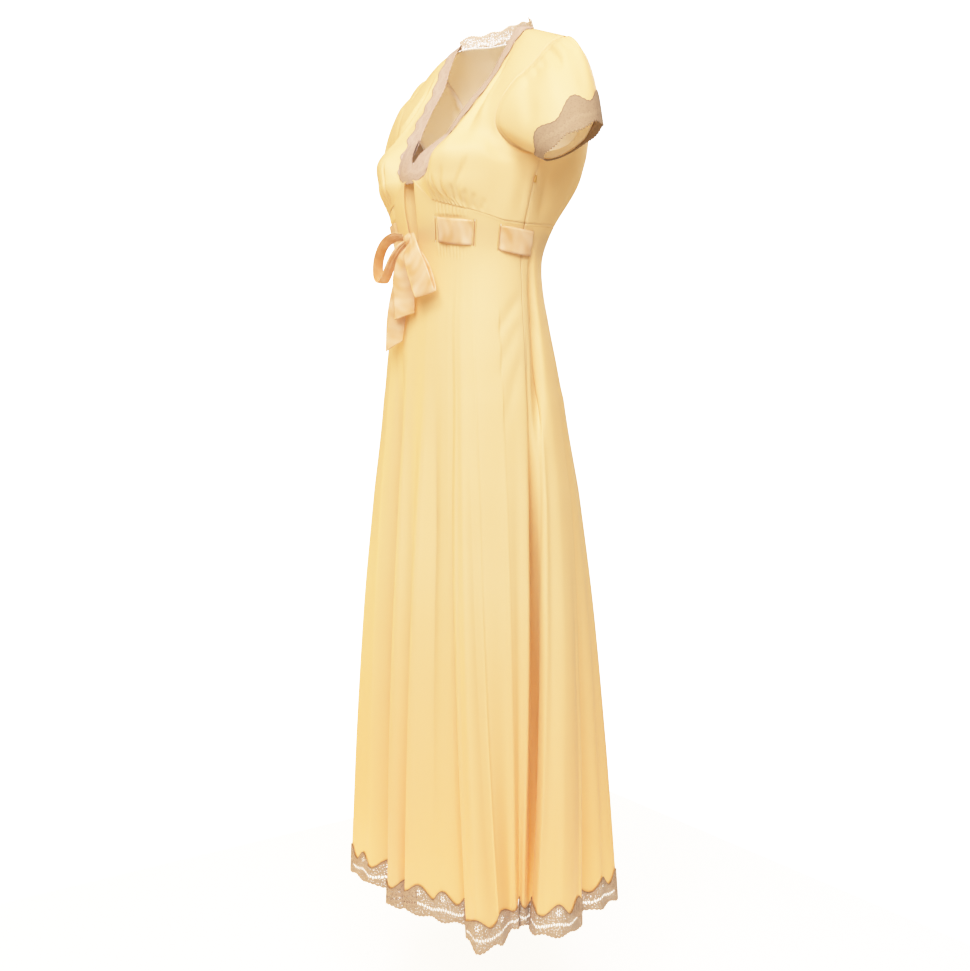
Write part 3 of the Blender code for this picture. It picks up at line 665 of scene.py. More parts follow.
def scallop(column, columnsEach):
    return 0.5 - 0.5 * np.cos(2 * np.pi * column / columnsEach)


# Rounded ridges with narrow valleys between them, as where cloth is gathered on a thread
def ruched(column, columnsEach):
    return arches(column / columnsEach) ** 0.7


def unit(vectors):
    return vectors / np.maximum(np.linalg.norm(vectors, axis=-1, keepdims=True), 1e-9)


def outward(places):
    along = np.gradient(places, axis=1)
    if np.allclose(places[:, 0], places[:, -1], atol=1e-6):
        along[:, 0] = along[:, -1] = places[:, 1] - places[:, -2]
    return unit(np.cross(along, np.gradient(places, axis=0)))


def raised(places, amount):
    return places + outward(places) * np.asarray(amount)[..., None]


# The end columns move in a little, so that neighbouring pieces don't touch
def pullIn(places, gap, ends=((0, 1), (-1, -2))):
    for end, near in ends:
        places[:, end] += unit(places[:, near] - places[:, end]) * gap


# Creases: across and up at the start, the same at the end, width, height (below 0 is a valley)
def creased(across, up, creases):
    amount = np.zeros(across.shape)
    for x0, y0, x1, y1, width, height in creases:
        reach = math.hypot(x1 - x0, y1 - y0)
        dx, dy = (x1 - x0) / reach, (y1 - y0) / reach
        along = ((across - x0) * dx + (up - y0) * dy) / reach
        aside = (across - x0) * -dy + (up - y0) * dx
        fade = softStep(np.minimum(along, 1 - along) * 3 + 0.15) * (along > -0.05) * (along < 1.05)
        amount += height * bell(aside / width) * fade
    return amount


def finishPiece(piece, nodes):
    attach(piece, "root")
    if nodes:
        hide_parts(*nodes)
    return piece


# A sheet of cloth with a thickness. keep says which squares of it are cloth.
def clothPiece(
    name, places, material, nodes, uv,
    keep=None, field=None, outer=False, wall=wallThickness,
):
    rows, columns = places.shape[:2]
    sheet = bmesh.new()
    bmesh.ops.create_grid(sheet, x_segments=columns - 1, y_segments=rows - 1, size=0.5)
    uvLayer = sheet.loops.layers.uv.new("UVMap")
    fieldLayer = sheet.verts.layers.float_vector.new("laceField") if field is not None else None
    spot = {}
    for vert in sheet.verts:
        column = round((vert.co.x + 0.5) * (columns - 1))
        row = round((vert.co.y + 0.5) * (rows - 1))
        spot[vert] = (row, column)
        vert.co = places[row, column] * cm
        if fieldLayer:
            vert[fieldLayer] = field[row, column]
    dropped = []
    for face in sheet.faces:
        corners = [spot[vert] for vert in face.verts]
        first = min(row for row, _ in corners), min(column for _, column in corners)
        if keep is not None and not keep[first]:
            dropped.append(face)
            continue
        face.smooth = True
        for loop in face.loops:
            loop[uvLayer].uv = uv[spot[loop.vert]]
    bmesh.ops.delete(sheet, geom=dropped, context="FACES")
    bmesh.ops.remove_doubles(sheet, verts=sheet.verts[:], dist=0.00001)
    piece = newMesh(name, sheet, [material, silkReverse] if material == silk else [material])
    solid = piece.modifiers.new("wall", "SOLIDIFY")
    solid.thickness = wall
    solid.offset = 1 if outer else -1
    if material == silk:
        solid.material_offset = 1
    return finishPiece(piece, nodes)


def mirrored(places):
    return places[:, ::-1] * (-1, 1, 1)


# Lace with its field: centimetres along, from the foot and from the top. The right side is
# the left one mirrored, and may lie further back.
def lacePiece(name, nodes, places, material, field, side=1, back=0, outer=True):
    field = np.stack(np.broadcast_arrays(*field), -1)
    uv = clothUv(places)
    if side < 0:
        places[..., 1] += back
        places, field, uv = mirrored(places), field[:, ::-1], uv[:, ::-1]
    clothPiece(name, places, material, nodes, uv, field=field, outer=outer)


def distances(places, axis):
    steps = np.linalg.norm(np.diff(places, axis=axis), axis=-1)
    shape = list(steps.shape)
    shape[axis] = 1
    return np.concatenate([np.zeros(shape), np.cumsum(steps, axis=axis)], axis=axis)


def clothUv(places):
    return np.stack([distances(places, 1), distances(places, 0)], -1)


# Skirt and midriff, cut in one

skirt = {
    "finePerColumn": {"front": 8, "back": 6},
    "rowsEach": (8, 10, 12, 12, 12, 12, 12, 6, 4, 8, 8, 6),
    "levels": (-121.5, -107.0, -90.0, -73.0, -57.0, -44.0),
    "slitKnot": 9,       # the foot of the slits in skirtKnots, and the next one is their top
    "hemWave": 1.6,
    "shirrDepth": 0.17,
    "shirrColumns": 1.5,
    "shirrFrom": (5.4, 0.8),     # column where it starts, and columns until it is full
    "shirrTo": (21, 6),          # column where it ends, and columns that it fades over
    "shirrBelow": (2.6, 0.7),    # how far under the ribbon, and how deep beside the rest
    "seamGap": 0.004,
    "front": (-28, 28),
    "back": (28, 100),
    # how high up the keyhole, and half its width there
    "keyhole": ((0, 0.25, 0.55, 0.85, 1.0), (0.9, 1.35, 1.55, 1.4, 1.25)),
    # across in columns, up in centimetres
    "creases": [
        (32.2, -31, 30.2, -60, 1.3, -1.7), (28.0, -16, 28.0, -36, 0.16, -0.2),
        (28.6, -60, 29.0, -130, 0.6, -4.4), (28.5, -44, 28.7, -84, 0.5, -0.6),
        (27.4, -54, 27.5, -150, 0.9, 0.5), (30.6, -56, 31.0, -150, 0.9, 0.5),
        (28.0, -38, 24.0, -45, 0.7, -0.26), (27.8, -42, 23.6, -51, 0.7, -0.22),
        (27.8, -46, 24.6, -58, 0.7, -0.2), (30.0, -36, 33.5, -46, 0.9, -0.2),
        (8.0, -48, 8.2, -150, 2.2, -1.3), (15.0, -54, 15.2, -150, 1.5, 0.5),
        (21.4, -60, 21.6, -150, 1.7, -0.6), (24.8, -58, 24.7, -150, 1.2, 0.5),
        (1.4, -44, 1.5, -150, 0.9, -0.7), (-2.6, -44, -3.0, -150, 1.4, -3.0),
        (4.4, -52, 4.4, -150, 1.2, 0.5), (38.5, -74, 38.5, -150, 1.4, -0.7),
        (44.0, -60, 44.0, -150, 1.8, 0.3), (-15.0, -60, -15.0, -150, 1.6, 0.35),
        (-22.6, -64, -22.6, -150, 1.4, -0.4), (-28.9, -50, -29.1, -150, 1.1, -0.8),
        (99.1, -50, 98.9, -150, 1.1, -0.8), (50, -60, 50, -150, 2.0, 0.3),
        (57, -62, 57, -150, 1.8, -0.35), (64, -55, 64, -150, 2.2, 0.3),
        (71, -62, 71, -150, 1.8, -0.35), (78, -58, 78, -150, 2.0, 0.3),
        (85, -62, 85, -150, 1.8, -0.35), (92, -60, 92, -150, 2.0, 0.3),
    ],
    "facing": {
        "foot": -30.6, "top": -21.9, "half": 2.2, "inside": 0.4, "hollow": 1.8,
        "rows": 24, "columns": 20,
    },
}


def skirtKnots(column):
    slitTop = beltHeight(column) + body["slitHeight"] / 2
    slitFoot = slitTop - body["slitHeight"]
    seam = seamHeight(column) - skirt["seamGap"]
    hem = body["hemLevel"] + skirt["hemWave"] * scallop(column, body["columnsAScallop"])
    flat = [np.full_like(column, level) for level in skirt["levels"]]
    middle = slitTop + (seam - slitTop) * 0.55
    return [hem, *flat, slitFoot - 2.4, slitFoot - 1.0, slitFoot, slitTop, middle, seam]


def skirtPoint(column, height):
    places = bodyPoint(column, height)
    along = bodyPoint(column + 0.8, height) - bodyPoint(column - 0.8, height)
    away = unit(np.stack([along[..., 1], -along[..., 0], np.zeros_like(along[..., 0])], -1))
    column, height = np.broadcast_arrays(column, height)
    return places + away * creased(column, height, skirt["creases"])[..., None]


def makeSkirt(name, node, half):
    first, last = skirt[half]
    fine = skirt["finePerColumn"][half]
    column = np.linspace(first, last, (last - first) * fine + 1)
    knots = skirtKnots(column)
    heights = [knots[0]]
    for low, high, count in zip(knots, knots[1:], skirt["rowsEach"]):
        heights += [low + (high - low) * step / count for step in range(1, count + 1)]
    height = np.array(heights)
    across = np.broadcast_to(column, height.shape)
    places = skirtPoint(across, height)
    pullIn(places, skirt["seamGap"] / 2)
    own, side = ownColumn(across)
    # Keyhole: the two points meet at their tips, the opening is widest half way down
    slitFoot = knots[skirt["slitKnot"]]
    span = np.clip((height - slitFoot) / (knots[-1] - slitFoot), 0, 1)
    halfOpen = np.interp(span, *skirt["keyhole"])
    near = np.clip((7 - own) / 6, 0, 1) * (height > slitFoot)
    edgeNow = np.abs(bodyPoint(np.ones_like(height), height)[..., 0])
    places[..., 0] -= side * near * (edgeNow - halfOpen)
    # Shirring: small upright ridges above and below the first stretch of ribbon
    (start, rise), (stop, fall) = skirt["shirrFrom"], skirt["shirrTo"]
    inside = softStep((own - start) / rise) * softStep((stop - own) / fall)
    seam, belt = seamHeight(across), beltHeight(across)
    halfSlit = body["slitHeight"] / 2
    above = softStep((height - belt - halfSlit) / 0.5) * softStep((seam + 0.1 - height) / 0.5)
    reach, part = skirt["shirrBelow"]
    below = softStep((belt - halfSlit - height) / 0.4)
    below = below * softStep((height - belt + halfSlit + reach) / 1.8)
    ridges = ruched(own, skirt["shirrColumns"]) * inside * np.maximum(above, part * below)
    places = raised(places, ridges * skirt["shirrDepth"])
    # The slits and the keyhole are left out
    rowStart = np.cumsum((0,) + skirt["rowsEach"])
    slitRows = slice(rowStart[skirt["slitKnot"]], rowStart[skirt["slitKnot"] + 1])
    keep = np.ones(height.shape, bool)
    ownMiddle = ownColumn((column[:-1] + column[1:]) / 2)[0]
    for slit in body["slitColumns"]:
        hit = np.where(np.abs(ownMiddle - slit - 0.5) < 0.2)[0]
        keep[slitRows, hit[:, None]] = False
    keep[slitRows.start:, np.where(ownMiddle < 1)[0]] = False
    clothPiece(name, places, silk, [node], clothUv(places), keep)


# A narrow facing inside the keyhole, sewn to both of its edges
def makeFacing():
    facing = skirt["facing"]
    height = np.linspace(facing["foot"], facing["top"], facing["rows"] + 1)[:, None]
    across = np.linspace(-1, 1, facing["columns"] + 1)
    x = facing["half"] * across + 0 * height
    edge = bodyPoint(np.ones_like(x), height + 0 * x)
    y = edge[..., 1] + facing["inside"] + facing["hollow"] * (1 - across**2) + 0 * x
    places = np.stack([x, y, height + 0 * x], -1)
    clothPiece("keyholeFacing", places, silk, [], clothUv(places))


makeSkirt("skirtFront", "skirt_front", "front")
makeFacing()
makeSkirt("skirtBack", "skirt_back", "back")
print("skirt made")

# Bodice

# Armhole edge of the left side, once round from the shoulder tip by the front
armhole = np.array([
    (16.5, 5.2, -2.3),
    (16.0, 3.0, -3.5),
    (15.4, 0.4, -6.4),
    (14.3, -2.5, -9.3),
    (13.4, -4.1, -12.5),
    (13.5, -4.2, -15.4),
    (14.8, -2.2, -17.8),
    (16.7, 0.9, -18.8),
    (16.6, 5.8, -17.4),
    (15.6, 9.0, -14.3),
    (15.2, 10.0, -10.3),
    (15.6, 9.0, -6.9),
    (16.2, 7.0, -3.8),
])

bodice = {
    "frontAngles": (2.7, 90),
    "fineColumns": 160,
    "seamRows": 22,
    "rowsEach": 11,
    "backColumns": 150,
    "seamGap": 0.006,
    "gatherDepth": 0.24,
    "gatherReach": 3.0,
    "seamDip": 0.26,
    "sideDip": 0.2,
    # across and up are the cloth's own, in centimetres from the seam at the centre front
    "frontCreases": [
        (6.4, 0.1, 7.0, 7.4, 0.32, -0.3), (7.6, 0.1, 8.6, 5.2, 0.28, -0.28),
        (8.6, 0.1, 11.0, 7.0, 0.32, -0.32), (9.6, 0.1, 12.2, 4.8, 0.28, -0.26),
        (10.6, 0.2, 15.2, 9.4, 0.36, -0.3), (11.2, 0.1, 13.8, 4.2, 0.28, -0.22),
        (12.5, 0.1, 14.6, 3.6, 0.28, -0.18), (13.8, 0.1, 15.4, 2.8, 0.28, -0.14),
        (3.4, 25, 12.6, 7.0, 1.7, 0.3), (5.8, 25, 14.6, 11.0, 1.2, -0.3),
        (8.5, 24, 16.5, 14.0, 1.1, 0.2), (18.6, 12.4, 19.2, 0.2, 0.9, -0.2),
        (17.2, 12.0, 17.8, 0.2, 1.0, 0.22), (19.4, 16.4, 16.0, 0.4, 0.9, -0.16),
    ],
    "backCreases": [
        (1.6, 9.5, 2.6, 0.3, 0.8, -0.3), (3.6, 11, 4.4, 0.3, 1.2, 0.2),
        (6.5, 9, 9.5, 0.3, 1.2, -0.2), (43.4, 9.5, 42.4, 0.3, 0.8, -0.3),
        (38.5, 9, 35.5, 0.3, 1.2, -0.2), (18.0, 14, 17.0, 0.5, 1.8, -0.18),
        (27.0, 14, 28.0, 0.5, 1.8, -0.18), (22.5, 20, 22.5, 0.5, 2.4, 0.2),
    ],
    # from the shoulder down: neck edge, a third and two thirds of the way across
    "front": np.array([
        (9.4, 5.0, 0.0, 11.77, 5.07, -0.77, 14.13, 5.13, -1.53),
        (9.1, 3.2, -0.7, 11.4, 2.8, -1.5, 13.8, 2.7, -2.6),
        (8.6, 1.0, -3.9, 10.8, 0.3, -4.6, 13.1, 0.1, -5.5),
        (7.7, -1.0, -7.5, 9.9, -1.8, -8.0, 12.1, -2.3, -8.7),
        (6.6, -3.7, -11.1, 9.0, -4.3, -11.5, 11.3, -4.5, -12.0),
        (5.6, -6.3, -14.7, 8.0, -7.5, -15.2, 10.9, -6.2, -15.4),
        (4.5, -8.4, -18.3, 7.3, -11.0, -18.6, 11.6, -8.2, -18.6),
        (2.8, -9.9, -21.4, 7.0, -11.3, -21.9, 12.1, -7.5, -22.2),
    ]).reshape(8, 3, 3),
    # from the underarm up: two thirds of the way to the side, a third, and the centre back
    "back": np.array([
        (13.6, 10.2, -20.2, 8.0, 14.7, -20.8, 0.0, 16.3, -21.0),
        (12.9, 12.2, -17.4, 7.6, 15.9, -17.4, 0.0, 17.2, -17.2),
        (11.8, 13.8, -13.7, 7.2, 16.2, -13.2, 0.0, 17.4, -13.0),
        (11.0, 13.8, -9.7, 6.8, 15.6, -9.2, 0.0, 16.4, -8.8),
        (10.5, 11.6, -5.5, 6.4, 13.6, -5.2, 0.0, 14.2, -5.0),
        (9.8, 7.9, -1.8, 6.0, 10.9, -1.7, 0.0, 11.8, -1.6),
        (9.4, 5.0, 0.0, 5.4, 8.4, 0.4, 0.0, 9.6, 0.5),
    ]).reshape(7, 3, 3),
}


def armholeAt(at):
    ring = np.concatenate([armhole[-2:], armhole, armhole[:3]])
    return smoothCurve(ring, np.mod(at, len(armhole)) + 2)


def columnAt(angle):
    return np.interp(angle, waistColumns[:, 1], waistColumns[:, 0])


def frontSurface(across, down):
    across, down = np.broadcast_arrays(np.asarray(across, float), np.asarray(down, float))
    lines = [smoothCurve(bodice["front"][:, index], down) for index in range(3)]
    lines.append(armholeAt(down))
    return acrossCurve(lines, across * 3)


def backSurface(across, up):
    across, up = np.broadcast_arrays(np.asarray(across, float), np.asarray(up, float))
    left = [armholeAt(7 + up)] + [smoothCurve(bodice["back"][:, index], up) for index in range(3)]
    lines = left + [line * (-1, 1, 1) for line in reversed(left[:3])]
    curved = acrossCurve(lines, across)
    share = np.minimum(across, 6 - across)[..., None]
    outer = np.where((across < 3)[..., None], lines[0], lines[6])
    inner = np.where((across < 3)[..., None], lines[1], lines[5])
    straight = outer + (inner - outer) * share
    weight = (softStep(up - 5) * (share[..., 0] < 1))[..., None]
    return curved + (straight - curved) * weight


# Rows from the seam under the bust up to the first row of the bodice above it
def towardsSeam(seam, first, second, side, count):
    chord = seam - first
    length = np.linalg.norm(chord, axis=-1, keepdims=True)
    lead = unit(first - second) * length
    lead = lead + (chord - lead) * side[:, None]
    rows = []
    for step in range(count, 0, -1):
        share = step / count
        rows.append(
            first * (2 * share**3 - 3 * share**2 + 1) + lead * (share**3 - 2 * share**2 + share)
            + seam * (3 * share**2 - 2 * share**3) + chord * (share**3 - share**2)
        )
    return rows


def gathered(column, up, reach):
    inside = softStep((column - 4.6) / 1.2) * softStep((21.5 - column) / 7)
    wander = 0.5 + 0.5 * np.cos(np.floor(column / skirt["shirrColumns"]) * 2.4)
    fade = np.clip(1 - up / (reach * (0.6 + 0.9 * wander)), 0, 1) ** 1.5
    return ruched(column, skirt["shirrColumns"]) * inside * fade


def frontGrid():
    across = shares(bodice["fineColumns"])
    start, end = bodice["frontAngles"]
    column = columnAt(start + (end - start) * across)
    seam = bodyPoint(column, seamHeight(column) + bodice["seamGap"])
    first, second = frontSurface(across, 7.0), frontSurface(across, 6.8)
    rows = towardsSeam(seam, first, second, softStep((across - 0.75) / 0.25), bodice["seamRows"])
    down = np.linspace(7, 0, 7 * bodice["rowsEach"] + 1)
    places = np.concatenate([np.array(rows), frontSurface(across[None], down[:, None])])
    pullIn(places, bodice["seamGap"] / 2, ((-1, -2),))
    return places, np.broadcast_to(column, places.shape[:2])


def makeFront(name, node, side):
    places, column = frontGrid()
    up = distances(places, 0)
    across = np.broadcast_to(distances(places[:1], 1), up.shape)
    amount = gathered(column, up, bodice["gatherReach"]) * bodice["gatherDepth"]
    toEdge = across[:, -1:] - across
    amount = amount + creased(across, up, bodice["frontCreases"]) * softStep(toEdge / 1.2)
    # the cloth dips at the armhole, and less at the side seam below it
    amount = amount - bodice["seamDip"] * bell(toEdge / 0.42) * softStep((up - 9) / 3)
    amount = amount - bodice["sideDip"] * bell(toEdge / 0.24) * softStep((10 - up) / 3)
    places = raised(places, amount)
    if side < 0:
        places = mirrored(places)
    clothPiece(name, places, silk, [node], clothUv(places))


def makeBack():
    across = np.linspace(0, 6, bodice["backColumns"] + 1)
    own = columnAt(90 + 30 * np.minimum(across, 6 - across))
    column = np.where(across <= 3, own, body["columns"] - own)
    seam = bodyPoint(column, seamHeight(column) + bodice["seamGap"])
    first, second = backSurface(across, 0.0), backSurface(across, 0.2)
    side = softStep((1 - np.minimum(across, 6 - across)) / 0.8)
    rows = towardsSeam(seam, first, second, side, bodice["seamRows"])
    up = np.linspace(0, 6, 6 * bodice["rowsEach"] + 1)
    places = np.concatenate([np.array(rows), backSurface(across[None], up[:, None])])
    places[-1] += (0, bodice["seamGap"] / 2, 0)
    pullIn(places, bodice["seamGap"] / 2)
    height = distances(places, 0)
    wide = np.broadcast_to(distances(places[:1], 1), height.shape)
    fromSide = np.minimum(wide, wide[:, -1:] - wide)
    dip = bodice["sideDip"] * bell(fromSide / 0.24) * softStep((10 - height) / 3)
    places = raised(places, creased(wide, height, bodice["backCreases"]) - dip)
    clothPiece("bodiceBack", places, silk, ["bodice_back"], clothUv(places))


makeFront("bodiceFrontLeft", "bodice_front_left", 1)
makeFront("bodiceFrontRight", "bodice_front_right", -1)
makeBack()
print("bodice made")

# Sleeves and their lace

sleeve = {
    "centre": np.array((22.3, 2.15, -17.9)),
    "top": np.array((2.9, 1.95, 2.3)),
    "front": np.array((1.6, -4.0, -0.7)),
    "seamOut": 0.045,
    "puff": 2.05,
    "puffPeak": 0.85,        # below 1 the puff is fullest nearer the shoulder
    "creaseSpan": (26, 12),    # centimetres once round, and down to the lace's free edge
    "pleat": 0.12,
    "pleats": 26,
    "laceTop": (0.84, 0.1, 0.04),   # valley, how much less at a peak, and at the front
    "laceTurn": 0.25,
    "silkUnder": 0.05,
    "allowance": 0.5,
    "allowanceIn": 0.12,
    "farBack": 0.9,
    "columns": 182,
    "rows": 44,
    "laceColumns": 312,
    "laceRows": 16,
    "laceScallops": 6,
    "laceLift": 0.12,
    "laceFoot": (0.03, 0.3),    # how much shorter between its scallops, and their turn
    "picotDepth": (0.006, 0.02),
    "picots": 52,
    "creases": [
        (0.5, -0.5, 0.4, 4.0, 0.26, -0.15), (1.5, -0.5, 1.5, 3.4, 0.26, -0.16),
        (2.6, -0.5, 2.9, 5.2, 0.34, -0.34), (3.4, -0.5, 4.0, 3.2, 0.24, -0.16),
        (4.1, -0.5, 4.6, 3.0, 0.24, -0.16), (4.8, -0.5, 5.6, 3.0, 0.26, -0.14),
        (-0.6, -0.5, -0.7, 3.8, 0.26, -0.14), (-1.7, -0.5, -1.9, 3.4, 0.26, -0.14),
        (-2.8, -0.5, -3.3, 3.6, 0.26, -0.14), (-3.9, -0.5, -4.6, 3.0, 0.26, -0.2),
        (5.0, 1.0, 7.4, 7.6, 0.9, -0.35), (3.6, 2.0, 4.6, 9.5, 1.0, 0.25),
        (1.0, 2.0, 1.4, 9.5, 0.9, -0.2), (-5.0, 1.0, -7.0, 7.6, 0.9, -0.25),
    ],
}


def laceTopAt(share):
    valley, peak, front = sleeve["laceTop"]
    wave = scallop(share * sleeve["laceScallops"] - sleeve["laceTurn"], 1)
    return valley - peak * wave - front * np.maximum(0, np.sin(2 * np.pi * share))


def sleeveAt(share, step):
    share, step = np.broadcast_arrays(np.asarray(share, float), np.asarray(step, float))
    turn = 2 * np.pi * share
    start = armholeAt(share * len(armhole)) + (sleeve["seamOut"], 0, 0)
    rim = sleeve["centre"] + sleeve["top"] * np.cos(turn)[..., None]
    rim = rim + sleeve["front"] * np.sin(turn)[..., None]
    puff = sleeve["puff"] * np.sin(np.pi * np.clip(step, 0, 1) ** sleeve["puffPeak"])
    top = np.maximum(0, 0.35 + 0.65 * np.cos(turn))
    across = np.sin(turn)
    away = np.stack([0.55 * top, -0.12 * across - 0.1 * top, top], -1) * puff[..., None]
    fade = np.sin(np.pi * np.minimum(1, step * 2.4)) * np.maximum(0, np.cos(turn))
    ripple = sleeve["pleat"] * fade * np.cos(np.pi * share * sleeve["pleats"])
    lean = np.stack([np.full_like(across, 0.6), -0.5 * across, np.full_like(across, 0.8)], -1)
    return start + (rim - start) * step[..., None] + away + lean * ripple[..., None]


# The sleeve's seam allowance lies inside the edge of the armhole
def sleeveAllowance(share):
    at = share * len(armhole)
    before, beyond = np.clip(at, 0, 7), np.clip(at - 7, 0, 6)
    front = frontSurface(0.94, before) - frontSurface(1.0, before)
    back = backSurface(0.09, beyond) - backSurface(0.0, beyond)
    lead = np.where((at <= 7)[:, None], front, back)
    lead = sum(np.roll(lead[:-1], step, axis=0) for step in range(-4, 5))
    lead = unit(np.concatenate([lead, lead[:1]]))
    edge = armholeAt(at)
    inside = unit(edge * (-1, -1, 0) + (0, 2, 0))
    return edge + lead * sleeve["allowance"] + inside * sleeve["allowanceIn"]


def makeSleeve(name, node, side):
    share = shares(sleeve["columns"])
    step = shares(sleeve["rows"])[:, None] ** 1.2
    step = step * (laceTopAt(share) + sleeve["silkUnder"])
    places = sleeveAt(share[None], step)
    girth, length = sleeve["creaseSpan"]
    around = np.broadcast_to((share[None] + 0.5) % 1 - 0.5, places.shape[:2])
    down = step * length
    dip = bell(down / 0.5) * softStep(1.2 - np.abs(around) * 2.4)
    amount = creased(around * girth, down, sleeve["creases"]) - bodice["seamDip"] * dip
    places = raised(places, amount)
    places = np.concatenate([sleeveAllowance(share)[None], places])
    places[:, -1] = places[:, 0]
    if side < 0:
        places[1:, :, 1] += sleeve["farBack"] * step**2
        places = mirrored(places)
    clothPiece(name, places, silk, [node], clothUv(places))


def makeCuffLace(name, node, side):
    share = shares(sleeve["laceColumns"])
    picot = arches(share * sleeve["picots"])
    topPicot, footPicot = sleeve["picotDepth"]
    shorter, turn = sleeve["laceFoot"]
    start = laceTopAt(share) - topPicot * picot
    end = 1.0 + footPicot * picot - shorter * scallop(share * sleeve["laceScallops"] + turn, 1)
    depth = shares(sleeve["laceRows"])[:, None]
    step = start + (end - start) * depth
    places = raised(sleeveAt(share[None], step), sleeve["laceLift"])
    places[:, -1] = places[:, 0]
    fromTop = distances(places, 0)
    along = (share * sleeve["laceScallops"] - sleeve["laceTurn"]) * laceLooks["cuff"]["scallop"]
    field = along, fromTop[-1] - fromTop, fromTop
    lacePiece(name, [node], places, cuffLace, field, side, sleeve["farBack"] * step**2)


makeSleeve("sleeveLeft", "sleeve_left", 1)
makeSleeve("sleeveRight", "sleeve_right", -1)
makeCuffLace("laceCuffLeft", "lace_cuff_left", 1)
makeCuffLace("laceCuffRight", "lace_cuff_right", -1)
print("sleeves made")

# Lace of the neck and hem

neck = {
    "rows": 270,
    "columns": 14,
    "scallops": 9,
    "freeEdge": 2.1,
    "freeStart": 0.3,        # how wide the free edge is where it starts, at the foot of the V
    "straightUntil": 0.45,
    "overSilk": (0.2, 0.75, 0.5),   # least, most at the foot of the V, less at the shoulder
    "lift": 0.12,
    "collarColumns": 192,
    "collarRows": 12,
    "collarScallops": 6,
    "collarPicot": 0.12,
    "collarPicots": 8,       # for each scallop
    "collarHeight": (1.3, 1.0, 0.3),     # at the shoulders, more at the centre, and its scallops
    "picots": 36,
    "picotDepth": 0.14,
    "pointColumns": 72,
    "pointRows": 24,
    "pointBulge": 0.35,
    "pointPicot": 0.16,
    "pointPicots": 6,
    # round the foot of the V from its middle: free edge, then the edge on the silk
    "point": np.array([
        (0.0, -9.9, -19.5, 0.0, -10.55, -22.3),
        (0.5, -9.7, -18.9, 1.5, -10.45, -22.1),
        (1.0, -9.3, -18.1, 3.3, -10.1, -21.25),
        (1.8, -8.5, -17.2, 4.4, -9.62, -19.7),
        (2.8, -7.4, -16.1, 5.0, -8.72, -17.9),
        (4.2, -5.7, -14.6, 5.7, -6.95, -15.4),
    ]),
}


def makeNeckLace(name, node, side):
    share = shares(neck["rows"])
    down = 7 * (1 - share)
    fine = np.linspace(0, 0.4, 60)
    silkRows = frontSurface(fine[None], down[:, None])
    reach = distances(silkRows, 1)
    lead = unit(silkRows[:, 1] - silkRows[:, 0])
    # towards the foot of the V the lace reaches straight for the middle
    straight = 1 - softStep(share / neck["straightUntil"])
    lead = unit(lead + ((1, 0, 0) - lead) * straight[:, None])
    least, most, less = neck["overSilk"]
    wave = scallop(share * neck["scallops"], 1)
    near = least + (most - less * share) * wave
    full = softStep(share / 0.2) * (1 - 0.7 * softStep(share * 8 - 7))
    picot = arches(share * neck["picots"])
    start = neck["freeStart"]
    far = neck["picotDepth"] * picot - start - (neck["freeEdge"] - start) * full
    depth = shares(neck["columns"])
    away = far[:, None] + (near - far)[:, None] * depth
    places = np.empty(away.shape + (3,))
    for row, far in enumerate(away):
        line = silkRows[row]
        on = np.stack([np.interp(far, reach[row], line[:, axis]) for axis in range(3)], -1)
        off = line[0] + lead[row] * far[:, None]
        places[row] = np.where((far < 0)[:, None], off, on)
    places = raised(places, neck["lift"])
    fromFree = distances(places, 1)
    along = share[:, None] * neck["scallops"] * laceLooks["neck"]["scallop"]
    field = along, fromFree, fromFree[:, -1:] - fromFree
    lacePiece(name, [node], places, neckLace, field, side)


def makeCollar():
    share = shares(neck["collarColumns"])
    base = backSurface(1 + 4 * share, 6.0) + (0, 0.015, 0)
    centre = 1 - np.abs(share - 0.5) * 2
    up = unit(np.stack([base[:, 0] * -0.03, np.full_like(share, -0.25), np.ones_like(share)], -1))
    low, more, wavy = neck["collarHeight"]
    turns = share * neck["collarScallops"]
    height = low + more * centre + wavy * scallop(turns, 1)
    height = height + neck["collarPicot"] * arches(turns * neck["collarPicots"])
    depth = shares(neck["collarRows"])[:, None]
    rise = 0.05 + height * depth
    places = base[None] + up[None] * rise[..., None]
    field = turns * laceLooks["collar"]["scallop"], height - height * depth, 0.12 + rise
    lacePiece("laceNeckBack", ["lace_neck_back"], places, collarLace, field, outer=False)


# The neck lace turns the foot of the V in one wide rounded piece
def makeNeckPoint():
    share = np.linspace(-1, 1, neck["pointColumns"] + 1)
    depth = shares(neck["pointRows"])[:, None]
    at = np.abs(share) * (len(neck["point"]) - 1)
    line = smoothCurve(neck["point"], at)
    mirror = np.stack([np.sign(share), np.ones_like(share), np.ones_like(share)], -1)
    inner, outer = line[:, :3] * mirror, line[:, 3:] * mirror
    outer[:, 2] -= neck["pointPicot"] * arches(share * neck["pointPicots"])
    places = outer + (inner - outer) * depth[..., None]
    places[..., 1] -= neck["pointBulge"] * np.sin(np.pi * depth) * (1 - share**2)
    field = share * 4.0 + 1.4, distances(places, 0), distances(places[::-1], 0)[::-1]
    lacePiece("laceNeckPoint", [], places, neckLace, field, outer=False)


hem = {
    "finePerColumn": 10,
    "rows": 14,
    "lift": 0.12,
    "gap": 0.015,
    "overSilk": 0.4,
    "foot": (2.2, 0.5),     # how far below the hem, and how much more at a peak
    "picot": 0.16,
    "picotsPerScallop": 8,
}


